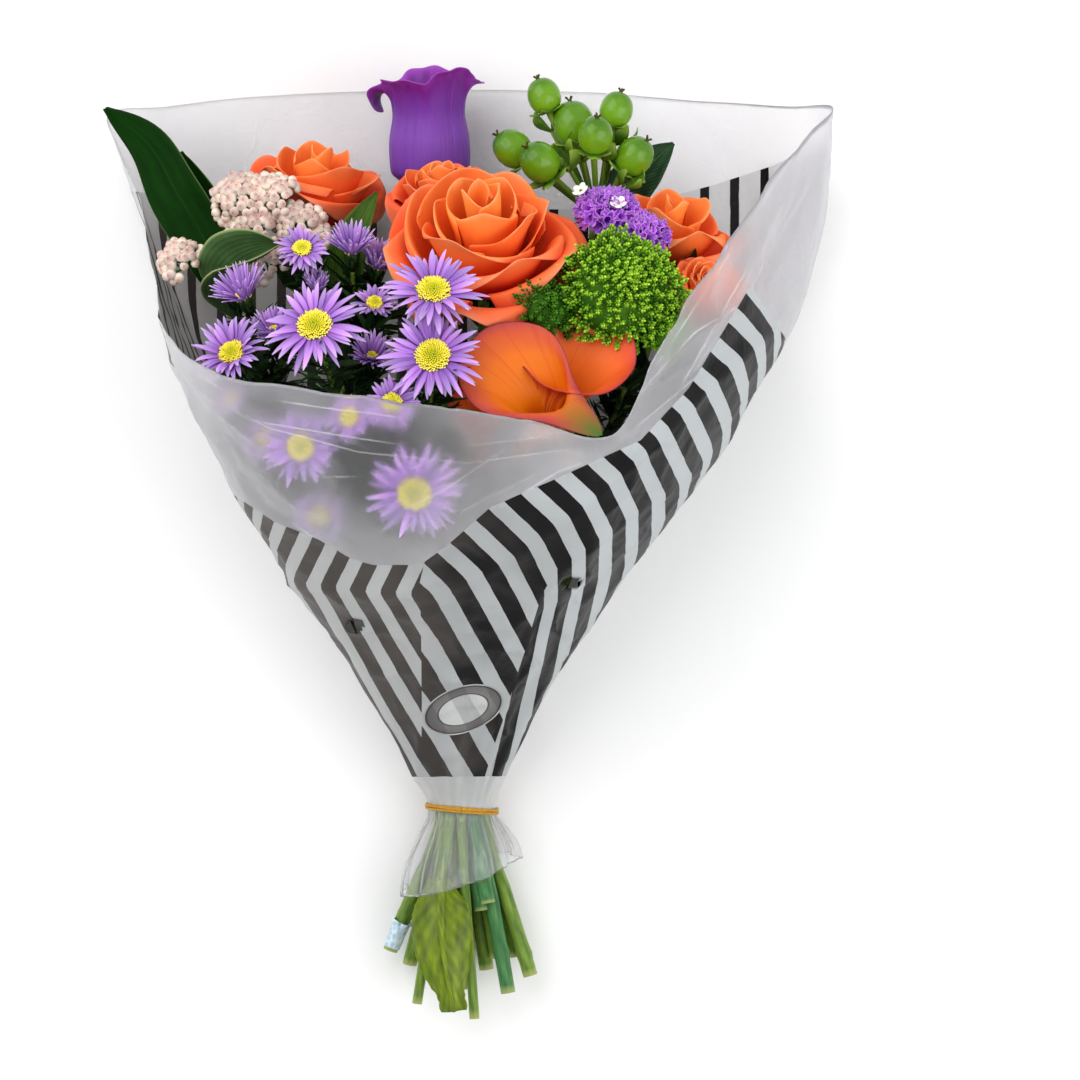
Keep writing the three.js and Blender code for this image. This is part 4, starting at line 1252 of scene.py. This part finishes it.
# %% Statice and rice flower
statice_mesh = bmesh.new()
dice = random.Random(52)
STATICE_AT, STATICE_FACING = Vector((64, 66, 92)), (0.1, 0.75, 0.6)
for shift, radius, height, number in [((-1, 2, 0), 15, 11, 60), ((14, -8, 4), 12, 10, 40)]:
    for count, (spot, way) in enumerate(dome_places(
        STATICE_AT + Vector(shift), STATICE_FACING, radius * 0.9, height * 0.8, number, dice, 0.15,
    )):
        size = dice.uniform(2.6, 3.9)
        wave = dice.uniform(0, 6)
        floret_place = aim(spot, way, turn=wave, size=size)

        def ruffle(s, t):
            out = 0.12 + 0.95 * t ** 1.1 * (1 + 0.22 * t * cos(5 * TURN * s))
            up = -1.0 + 1.5 * t - 0.35 * t ** 3 + 0.34 * t ** 2 * sin(9 * TURN * s + wave)
            return rolled_at(s, out, up)

        shaped_sheet(statice_mesh, 24, 5, ruffle, floret_place, rolled=True, tint=dice.uniform(0, 1))
for at, way in [((51, 77, 101), (-0.4, 0.6, 0.7)), ((67, 71.5, 101), (0, 0.6, 0.8))]:
    for number in range(5):
        angle = TURN * number / 5
        shaped_sheet(statice_mesh, 3, 4, lambda s, t: off_axis(
            angle, 0.2 + t, 0.1 + 0.35 * t ** 2, (2 * s - 1) * 0.55 * sin(pi * (0.1 + 0.75 * t)),
        ), aim(at, way, size=3.0), tint=0.5, layer=1)
statice_finish = petal_finish("purple statice paper", [
    (0.0, "#54149a"), (0.4, "#9840cc"), (0.85, "#b460dc"), (1.0, "#d096ee"),
], veins=20, hue=0.04, light=0.4, roughness=0.8)
white_finish = petal_finish("white statice corolla", [
    (0.0, "#e8e8d0"), (1.0, "#fdfdfb"),
], veins=5, light=0.1)
piece_of(statice_mesh, "statice_florets", [statice_finish, white_finish], ["statice"],
         wall=0.12)

rice_bud = egg_template("rice bud", 8, 6, lambda t: (2.25 * sin(pi * t ** 1.05) ** 0.75, 5.2 * t - 2.5))
rice_mesh = bmesh.new()
dice = random.Random(63)
RICE_AT, RICE_FACING = Vector((-84, 72, 82)), (-0.25, 0.6, 0.75)
RICE_LOBES = [
    ((-12, 3, 0), 12, 7, 11), ((1, 3, 1), 11, 7, 10), ((13, -9, 2), 10, 7, 9),
    ((-6, -11, 3), 12, 7, 11), ((21, -17, 4), 7, 5, 5), ((-38, -25, 2), 9.5, 7, 8),
    ((0, -26, 6), 9, 6, 7), ((-15, -22, 4), 8, 6, 6),
]
grains = []
for shift, radius, height, bunches in RICE_LOBES:
    lobe = (RICE_AT + Vector(shift), RICE_FACING, radius * 0.86, height * 0.9)
    for spot, way in dome_places(*lobe, bunches, dice, 0.1):
        stalk = [spot - way * 9 + Vector((0, 0, -2)), spot - way * 4, spot]
        tube_along(rice_mesh, stalk, 0.5, 6, 5, layer=1)
        side = way.orthogonal().normalized()
        for grain in range(7):
            out = 0.15 + 0.95 * math.sqrt(grain / 7)
            lean = Matrix.Rotation(grain * GOLDEN_TURN, 3, way) @ side
            at = spot + lean * 4.6 * out + way * (2.6 - 3.0 * out * out + dice.uniform(-0.7, 0.7))
            place = aim(at, way + lean * 0.55 * out, size=dice.uniform(0.85, 1.08))
            grains.append((place, dice.uniform(0, 1)))
scatter(rice_mesh, rice_bud, grains)
rice_finish = petal_finish("cream and pink rice bud", [
    (0.0, "#6a6838"), (0.2, "#a8986e"), (0.42, "#e2d6c4"), (0.7, "#eadccf"), (0.9, "#d4b0a6"),
    (1.0, "#ad7876"),
], veins=5, hue=0.02, light=0.34, roughness=0.75, relief=0.3)
twig_finish = petal_finish("thin green twig", [
    (0.0, "#4f6b2a"), (0.5, "#6f8c3a"), (1.0, "#7f9c48"),
], veins=4, hue=0.02, light=0.2, roughness=0.6)
piece_of(rice_mesh, "rice_flower_buds", [rice_finish, twig_finish], ["rice_flower"])
print("rice buds:", len(grains))

# %% [markdown]
# ## Leaves
#
# A leaf blade is a sheet along a spine, as wide as its outline at every step. Its two halves are folded
# up a little along the midrib, and its edge waves slightly. The finish draws the veins from the sheet's
# own map: long veins that follow the outline on ruscus, a branching net on the broad leaves.

# %% Blade and leaf finish
def leaf_blade(mesh, spine, side, width, widest=0.45, cup=0.14, wave=0.4, teeth=0.0, tint=0.5, layer=0,
               columns=12, rows=40, foot=0.07):
    """A blade along a spine. widest is where along it the blade is widest, cup how far its two halves
    fold up, wave and teeth how uneven its edge is in millimetres, and foot the share of its width
    that it has at either end."""
    along = route_through(spine)
    sideways = Vector(side).normalized()
    power = math.log(0.5) / math.log(widest)

    def blade(s, t):
        ahead = (along(min(1, t + 0.01)) - along(max(0, t - 0.01))).normalized()
        across = (sideways - ahead * sideways.dot(ahead)).normalized()
        up = across.cross(ahead)
        half = width / 2 * max(foot, sin(pi * t ** power) ** 0.75)
        offset = 2 * s - 1
        half += teeth * abs(offset) ** 6 * (abs(sin(26 * pi * t)) - 0.5)
        lift = half * cup * (abs(offset) ** 1.4 * 1.4 - 0.3)
        lift += wave * sin(9 * t + 2 * offset) * offset ** 2
        return along(t) + across * half * offset + up * lift

    shaped_sheet(mesh, columns, rows, blade, Matrix.Scale(MM, 4), tint=tint, layer=layer)


def leaf_finish(name, dark, mid, light, veins=22, branching=0.0, roughness=0.38, margin="#a9b77a",
                edge=0.47, shine=0.15, contrast=0.22):
    """A waxy leaf: veins is the number of long veins, branching slants them off the midrib, and
    contrast is how much they show."""
    made, add = new_finish(name)
    own_sheet = add("UVMap", uv_map="sheet")
    parts = add("SeparateXYZ", [own_sheet]).outputs
    tint = add("SeparateXYZ", [add("UVMap", uv_map="tint")]).outputs["X"]
    centred = add("Math", [parts["X"], 0.5], operation="SUBTRACT")
    off_rib = add("Math", [centred], operation="ABSOLUTE")
    slant = add("Math", [off_rib, -branching, parts["Y"]], operation="MULTIPLY_ADD")
    lines = add("CombineXYZ", [off_rib if branching == 0 else slant, 0.0, 0.0])
    warp = add("TexNoise", {"Vector": own_sheet, "Scale": 5.0, "Detail": 3.0})
    rippled = add("TexWave", {
        "Vector": lines, "Scale": veins / 2, "Distortion": 0.6 + 2.4 * branching, "Detail": 1.0,
    }, wave_profile="SIN")
    mottle = add("Math", [rippled, contrast, warp], operation="MULTIPLY_ADD")
    green = add("ValToRGB", [mottle], [(0.3, dark), (0.6, mid), (0.95, light)])
    rib = add("MapRange", [off_rib, 0.012, 0.04, 0.75, 0.0])
    ribbed = add("Mix", [rib, green, light], data_type="RGBA")
    rim = add("MapRange", [off_rib, edge, 0.5, 0.0, 0.8])
    edged = add("Mix", [rim, ribbed, margin], data_type="RGBA")
    brightness = add("Math", [tint, 0.5, 0.75], operation="MULTIPLY_ADD")
    toned = add("HueSaturation", {"Color": edged, "Value": brightness})
    surface(add, rippled, 0.5, 0.25, {
        "Base Color": toned, "Roughness": roughness, "Specular IOR Level": shine,
    })
    return made


ruscus_finish = leaf_finish(
    "glossy ruscus leaf", "#062402", "#0a3204", "#113f08",
    veins=24, roughness=0.4, margin="#5f7040", edge=0.485, shine=0.04,
)
grey_finish = leaf_finish(
    "grey-green leaf underside", "#38522a", "#48663a", "#5a7648",
    veins=11, roughness=0.55, shine=0.1, contrast=0.04,
)
olive_finish = leaf_finish(
    "olive pointed leaf", "#24400c", "#3a5c14", "#557420",
    veins=10, roughness=0.4, margin="#5f7a28",
)
dark_finish = leaf_finish(
    "dark net-veined leaf", "#16301a", "#203f24", "#3d6138",
    veins=13, branching=0.5, roughness=0.5, margin="#2f4d2c",
)
salad_finish = leaf_finish(
    "crumpled young leaf", "#3a4e06", "#647a0a", "#98a422",
    veins=5, branching=0.6, roughness=0.35, margin="#8a9a30", edge=0.485, shine=0.3, contrast=0.09,
)
# The shaded rose leaf is painted shade: leaves darkened for the gaps under the flowers.
shade_finish = leaf_finish(
    "shaded rose leaf", "#0e2208", "#18340e", "#2b4f1c",
    veins=14, branching=0.6, roughness=0.5, margin="#23401a",
)
# Each leaf: its node's spine, the way across it, its width, its finish and its own shape.
LEAVES = {
    "ruscus_leaf_long": (
        [(-98.2, 22.6, 66.6), (-107, 40, 67), (-115, 60, 62), (-127, 80, 58), (-140, 102, 48),
         (-161, 120, 36)],
        (0.75, 0.5, 0.3), 26, ruscus_finish, {"cup": 0.22, "wave": 1.6, "tint": 0.4, "widest": 0.56},
    ),
    "ruscus_leaf_back": (
        [(-98.2, 23.4, 64.9), (-104, 48, 55), (-112, 73, 49), (-126.5, 100, 42)],
        (0.8, 0.4, 0.3), 18, ruscus_finish, {"cup": 0.4, "wave": 0.5, "tint": 0.5},
    ),
    "ruscus_leaf_curled": (
        [(-98.4, 22.4, 68.4), (-106, 36, 88), (-98, 45, 98), (-79, 54, 103)],
        (0.2, 0.9, -0.2), 20, grey_finish,
        {"cup": -1.3, "wave": 1.6, "tint": 0.5, "widest": 0.68, "foot": 0.04},
    ),
    "pointed_leaf": (
        [(-50.5, 24, 94), (-51, 42, 93), (-46, 60, 94), (-37, 77, 95)],
        (0.8, -0.3, 0.2), 18, olive_finish, {"cup": 0.35, "wave": 0.3, "tint": 0.6, "widest": 0.38},
    ),
    "hypericum_leaf": (
        [(60.9, 65.4, 53.4), (69, 79, 43), (81, 93, 40), (93, 104, 40)],
        (0.7, -0.6, 0.1), 21, dark_finish, {"cup": 0.25, "wave": 0.5, "tint": 0.5},
    ),
    "stem_leaf": (
        [(-11, -225, 31.7), (-11, -240, 36), (-9, -262, 38), (-5, -284, 36)],
        (1, 0, 0), 27, salad_finish, {"cup": 0.2, "wave": 2.6, "teeth": 0.7, "tint": 0.6, "foot": 0.45},
    ),
}
for node, (spine, side, width, finish, shape) in LEAVES.items():
    leaf_mesh = bmesh.new()
    leaf_blade(leaf_mesh, spine, side, width, **shape)
    if node == "stem_leaf":
        tube_along(leaf_mesh, [tuple(Vector(point) + Vector((0, 0, 0.3))) for point in spine],
                   lambda t, angle: 2.4 - 1.7 * t, 8, 24, tint=0.9)
    piece_of(leaf_mesh, f"{node}_blade", finish, [node], wall=0.5)

# %% [markdown]
# ## Stems
#
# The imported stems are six-sided bars. Here each becomes a round tube along the same route, a little
# thicker at its nodes and under its flower. The asters' stems also carry their twigs and the fine dark
# leaves that fill the space between the flowers, and the roses' stems a green cup of sepals.

# %% Where each stem runs
STEM_RADIUS = 2.5
PITCH = 5.5  # from one stem of the bundle to the next beside it
ROW_PITCH = PITCH * sin(pi / 3)
BAND_RUN = 7  # how far the stems run straight on either side of the band's middle
RUN_IN = 22  # how far a stem runs straight into its flower


def stem_route(slot, cut, seat, facing):
    """From the cut end, straight through the rubber band, then up to the flower."""
    row, column = slot
    x = NECK.x + (column - (4 - abs(row - 2)) / 2) * PITCH
    z = NECK.z + (row - 2) * ROW_PITCH
    end = Vector(seat)
    before = end - Vector(facing).normalized() * RUN_IN
    return [cut, (x, NECK.y - BAND_RUN, z), (x, NECK.y + BAND_RUN, z), before, end]


def foot_of(at, facing, depth):
    """Where a stem ends under a flower: so deep behind it, and 0.3 mm clear."""
    return Vector(at) - Vector(facing).normalized() * (depth + 0.3)


# Single stems: place in the bundle, cut end, the flower, how deep under it the stem ends, and the
# way the flower faces. The ruscus stem ends at its leaves.
STEMS = {
    "rose_centre": ((2, 2), (0, -276, 18), (8.6, 54, 110), 33.58, (0, 0.6, 0.8)),
    "rose_left": ((0, 0), (-14, -270, 4), (-63, 84, 46), 23.8, (0.1, 0.85, 0.5)),
    "rose_back": ((1, 1), (-7, -274, 11), (-13, 79, 67), 17, (-0.1, 0.9, 0.35)),
    "rose_right": ((1, 3), (23, -262, 10), (93, 62, 66), 21.68, (0.15, 0.75, 0.6)),
    "rose_small": ((2, 4), (29, -270, 18), (108, 38, 92), 11.9, (0.45, 0.6, 0.65)),
    "bell_flower": ((0, 1), (-2, -268, 4), BELL_FOOT, 0, BELL_FACING),
    "calla_front": ((4, 2), (10, -236, 31), (24, -40, 118), -12, (0, 0.72, 0.69)),
    "calla_right": ((3, 3), (19, -277, 25), (46, -44, 101), -12, (0.26, 0.74, 0.62)),
    "calla_small": ((3, 2), (7, -240, 24), (7, -44, 94), -12, (0.02, 0.75, 0.66)),
    "hypericum": ((0, 2), (10, -262, 4), (58, 70, 56), 1.1, (0.1, 0.98, 0.15)),
    "green_cluster": ((2, 3), (14, -262, 17), (67, 32, 120), 20, (0.25, 0.35, 0.9)),
    "statice": ((1, 2), (9, -268, 11), (64, 66, 92), 12, (0.1, 0.75, 0.6)),
    "rice_flower": ((1, 0), (-26, -266, 9), (-84, 72, 82), 16, (-0.25, 0.6, 0.75)),
    "ruscus": ((2, 0), (-34.5, -259, 14), (-98, 22, 66), -0.3, (-0.3, 0.9, 0.2)),
}


def stem_finish(name, dark, mid, light):
    """Fresh green bark: fine lengthwise streaks, brown freckles, and a paler cut end."""
    made, add = new_finish(name)
    own_sheet = add("UVMap", uv_map="sheet")
    place = add("TexCoord").outputs["Object"]
    along = add("SeparateXYZ", [own_sheet]).outputs["Y"]
    drawn = add("Mapping", {"Vector": own_sheet, "Scale": (9, 22, 1)})
    streaks = add("TexNoise", {"Vector": drawn, "Detail": 4.0, "Scale": 1.0})
    bark = add("ValToRGB", [streaks], [(0.3, dark), (0.5, mid), (0.72, light)])
    cells = add("TexVoronoi", {"Vector": place, "Scale": 110.0})
    freckle = add("MapRange", [cells, 0.05, 0.14, 0.6, 0.0])
    freckled = add("Mix", [freckle, bark, "#5a4a1e"], data_type="RGBA")
    end = add("MapRange", [along, 0.0, 0.012, 0.65, 0.0])
    cut = add("Mix", [end, freckled, "#c3c67a"], data_type="RGBA")
    surface(add, streaks, 0.5, 0.3, {"Base Color": cut, "Roughness": 0.42, "Specular IOR Level": 0.25})
    return made


yellow_stem = stem_finish("yellow-green stem bark", "#6f7a22", "#949c3a", "#a9b04a")
green_stem = stem_finish("green stem bark", "#47662a", "#67852f", "#849e42")
cool_stem = stem_finish("smooth blue-green stem", "#2a5a34", "#3d7340", "#578c50")
# The stems that aren't plain green.
STEM_TONES = {"rose_left": yellow_stem, **dict.fromkeys(CALLAS, cool_stem)}
# How many leaves each of these stems keeps.
LEAFY = {"rose_centre": 7, "rose_left": 4, "rose_back": 5, "green_cluster": 6, "calla_right": 6,
         "statice": 4, "rose_small": 6}
for name, (slot, cut, flower, depth, facing) in STEMS.items():
    seat = foot_of(flower, facing, depth)
    stem_mesh = bmesh.new()
    dice = random.Random(len(name) * 7 + slot[0])
    knots = [dice.uniform(0.03, 0.12), dice.uniform(0.3, 0.45), dice.uniform(0.6, 0.75)]

    def thickness(t, angle):
        swell = sum(0.45 * exp(-((t - knot) / 0.006) ** 2) for knot in knots)
        swell *= 1 + 0.5 * cos(angle)
        thick = 0.9 * max(0, min(1, (0.17 - t) / 0.04))
        return STEM_RADIUS - 0.12 + thick + swell * (0 if 0.18 < t < 0.55 else 1) + 0.1 * cos(3 * angle)

    route = stem_route(slot, cut, seat, facing)
    tube_along(stem_mesh, route, thickness, 12, 90)
    if name.startswith("rose"):
        size = {"rose_centre": 5, "rose_small": 2.8}.get(name, 3.8)
        for number in range(5):
            angle = TURN * number / 5
            shaped_sheet(stem_mesh, 4, 8, lambda s, t: off_axis(
                angle, 0.5 + 1.9 * t ** 0.7, 0.1 + 2.6 * t - 0.9 * t * t, (2 * s - 1) * 0.6 * (1 - t),
            ), aim(seat, facing, size=size), tint=0.5)
    # Broad, very dark leaves on the upper part of a stem fill the gaps under the flowers: their dark
    # finish is painted shade for the shadow there.
    line = route_through(route)
    for number in range(LEAFY.get(name, 0)):
        start = line(0.66 + 0.3 * number / LEAFY[name])
        turn = number * GOLDEN_TURN + len(name)
        way = Vector((sin(turn), 0.75 + 0.3 * cos(turn * 1.7), 0.2 + 0.35 * cos(turn)))
        way.normalize()
        reach = reach_inside(start, way, dice.uniform(24, 36))
        spine = [start, start + way * reach * 0.5 + Vector((0, 0, 2)), start + way * reach]
        leaf_blade(stem_mesh, spine, way.orthogonal(), reach * 0.5, cup=0.25, wave=0.8, teeth=0.5,
                   tint=dice.random(), layer=1, columns=8, rows=16)
    finishes = [STEM_TONES.get(name, green_stem), shade_finish]
    piece_of(stem_mesh, f"{name}_green_stem", finishes, [f"{name}_stem"])

# %% [markdown]
# An aster spray is one stem that forks into a twig for every flower. Its leaves are narrow, dark and
# many. They stand all round the stem and twigs between the fork and the flowers, so they are scattered
# along those routes with a fixed seed.

# %% Aster sprays with their fine leaves
SPRAYS = {
    "aster_top": ((2, 1), (-15, -272, 17), (-50, 6, 88)),
    "aster_left": ((3, 0), (-22, -282, 24), (-84, -12, 96)),
    "aster_mid": ((3, 1), (-9, -270, 24), (-52, -14, 122)),
    "aster_low": ((4, 0), (-14, -244, 31), (-58, -62, 98)),
    "aster_right": ((4, 1), (4, -288, 30), (-16, -34, 118)),
}
needle_finish = leaf_finish(
    "dark fine aster leaf", "#0c1a08", "#183010", "#315224", veins=4, roughness=0.5, margin="#284420",
)


def fine_leaves(mesh, start, end, number, dice, length, spread=1.0):
    """Narrow leaves along a straight run, leaning towards its end."""
    run = Vector(end) - Vector(start)
    ahead = run.normalized()
    side = ahead.orthogonal().normalized()
    for count in range(number):
        at = Vector(start) + run * dice.random()
        lean = Matrix.Rotation(dice.uniform(0, 6.28), 3, ahead) @ side
        way = (ahead * dice.uniform(0.3, 1.0) + lean * spread).normalized()
        reach = dice.uniform(*length)
        bend = Vector((dice.uniform(-2, 2), dice.uniform(-2, 2), dice.uniform(-2.5, 1)))
        reach = reach_inside(at, way, reach + 2) - 2
        if reach < 4:
            continue
        middle = at + way * reach * 0.55 + ahead * 0.05 * reach
        tip = at + way * reach + bend * 0.5
        across = way.cross(lean + Vector((0.1, 0.2, 0.3)))
        leaf_blade(mesh, [at, middle, tip], across, dice.uniform(1.8, 3.4), widest=0.5, cup=0.3,
                   wave=0.0, tint=dice.uniform(0, 1), layer=1, columns=2, rows=5, foot=0.2)


for name, (slot, cut, fork) in SPRAYS.items():
    spray_mesh = bmesh.new()
    dice = random.Random(sum(map(ord, name)))
    facing = Vector(fork) - NECK
    tube_along(spray_mesh, stem_route(slot, cut, fork, facing), 2.25, 12, 70)
    blooms = [bloom for node, of_node in ASTERS.items() if node.startswith(name) for bloom in of_node]
    for at, face, radius, lift in blooms:
        foot = foot_of(at, face, 8)
        lead = foot - Vector(face).normalized() * 7
        tube_along(spray_mesh, [fork, lead, foot], 1.05, 8, 16)
        fine_leaves(spray_mesh, lead.lerp(Vector(fork), 0.8), foot, 60, dice, length=(10, 20))
    low = NECK.lerp(Vector(fork), 0.66)
    fine_leaves(spray_mesh, low, Vector(fork), 150, dice, length=(14, 28), spread=0.9)
    if name == "aster_right":
        # One twig without a flower fills the gap between the callas and the film.
        twig = [NECK.lerp(Vector(fork), 0.5), (38, -64, 66), (62, -26, 84), (70, -8, 100)]
        tube_along(spray_mesh, twig, 1.05, 8, 24)
        for start, end in zip(twig[1:], twig[2:]):
            fine_leaves(spray_mesh, start, end, 70, dice, length=(12, 24))
    piece_of(spray_mesh, f"{name}_leafy_spray", [green_stem, needle_finish], [f"{name}_stem"])

# %% [markdown]
# ## Rubber band and tape
#
# The rubber band is cut from a flat ochre ring, wound round twice, so two strands lie side by side and
# cross at the front. The tape is a strip of crumpled pale blue wrapping round the lowest left stem.

# %% Rubber band and tape
band_mesh = bmesh.new()
for strand, (shift, tilt) in enumerate([(-0.9, 0.05), (0.8, -0.03), (0.1, 0.12)]):
    loop_points = []
    for step in range(33):
        angle = TURN * step / 32
        out = 16.05 + 0.12 * sin(5 * angle + strand)
        loop_points.append((
            NECK.x + out * sin(angle),
            NECK.y + shift + 0.08 * out * -sin(angle) + tilt * out * cos(angle) * 0.5,
            NECK.z + out * cos(angle),
        ))
    tube_along(band_mesh, loop_points, lambda t, angle: 0.52 + 0.24 * abs(sin(angle)), 8, 96)
rubber_finish, add = new_finish("ochre natural rubber")
rubber_place = add("TexCoord").outputs["Object"]
rubber_grain = add("TexNoise", {"Vector": rubber_place, "Scale": 900.0, "Detail": 3.0})
rubber_colour = add("ValToRGB", [rubber_grain], [(0.3, "#a8770f"), (0.7, "#c9951f")])
surface(add, rubber_grain, 0.3, 0.1, {"Base Color": rubber_colour, "Roughness": 0.55})
piece_of(band_mesh, "rubber_band_strands", rubber_finish, ["rubber_band"])

slot, cut, flower, depth, facing = STEMS["ruscus"]
tape_line = route_through(stem_route(slot, cut, flower, facing))
tape_mesh = bmesh.new()
tape_start, tape_end = tape_line(0.006), tape_line(0.075)
tape_way = (tape_end - tape_start).normalized()
TAPE_LENGTH = 13.0


def tape_wrap(s, t):
    angle = TURN * s
    out = 3.3 + 0.35 * sin(3 * angle + 1) + 0.5 * abs(sin(7 * angle + 5 * t)) * (0.3 + t)
    out += 0.9 * max(0, t - 0.8) / 0.2 * (1 + sin(5 * angle))
    return rolled_at(s, out, TAPE_LENGTH * t + 0.7 * sin(2 * angle + 1) * t)


shaped_sheet(tape_mesh, 40, 16, tape_wrap, aim(tape_start, tape_way), rolled=True)
tape_finish, add = new_finish("pale blue crepe tape")
tape_place = add("TexCoord").outputs["Object"]
tape_crumple = add("TexVoronoi", {"Vector": tape_place, "Scale": 420.0})
tape_colour = add("ValToRGB", [tape_crumple], [(0.0, "#7fb0cf"), (0.35, "#b4d2e2"), (0.8, "#e4f0f6")])
surface(add, tape_crumple, 0.7, 0.4, {"Base Color": tape_colour, "Roughness": 0.6})
piece_of(tape_mesh, "blue_stem_tape", tape_finish, ["stem_tape"], wall=0.25)

# %% [markdown]
# ## Floor and light
#
# A pale floor, one broad soft light from the upper left, a weaker one from the right, and a bright even
# sky. The colours of the petals are strong, so the picture is shown without the film-like tone curve.

# %% Floor, lights and sky
floor_mesh = bmesh.new()
FLOOR_HALF = 3  # metres, so that the floor's edge is never seen
bmesh.ops.create_grid(floor_mesh, x_segments=1, y_segments=1, size=FLOOR_HALF)
floor_data = bpy.data.meshes.new("floor")
floor_mesh.to_mesh(floor_data)
floor_mesh.free()
floor = bpy.data.objects.new("floor", floor_data)
bpy.context.scene.collection.objects.link(floor)
floor_finish, add = new_finish("matt white table paint")
floor_place = add("TexCoord").outputs["Object"]
floor_grain = add("TexNoise", {"Vector": floor_place, "Scale": 6.0})
floor_tone = add("ValToRGB", [floor_grain], [(0.3, "#f8f8f8"), (0.7, "#fbfbfb")])
floor_shader = add("BsdfPrincipled", {"Base Color": floor_tone, "Roughness": 0.9})
add("OutputMaterial", [floor_shader])
floor_data.materials.append(floor_finish)


def add_light(name, place, watts, size):
    """A square soft light, its side in metres, aimed at the middle of the bouquet."""
    data = bpy.data.lights.new(name, "AREA")
    data.energy = watts
    data.size = size
    light = bpy.data.objects.new(name, data)
    light.location = Vector(place) * MM
    aimed = Vector((0, -60, 60)) * MM - light.location
    light.rotation_euler = aimed.to_track_quat("-Z", "Y").to_euler()
    bpy.context.scene.collection.objects.link(light)


add_light("soft box", (-700, 700, 1300), 14, 1.6)
add_light("fill", (900, -300, 900), 5.5, 1.0)
sky = bpy.data.worlds.new("sky")
sky.use_nodes = True
sky.node_tree.nodes["Background"].inputs["Color"].default_value = colour("#ffffff")
sky.node_tree.nodes["Background"].inputs["Strength"].default_value = 0.78
bpy.context.scene.world = sky
bpy.context.scene.view_settings.view_transform = "Standard"
print("lights ready")
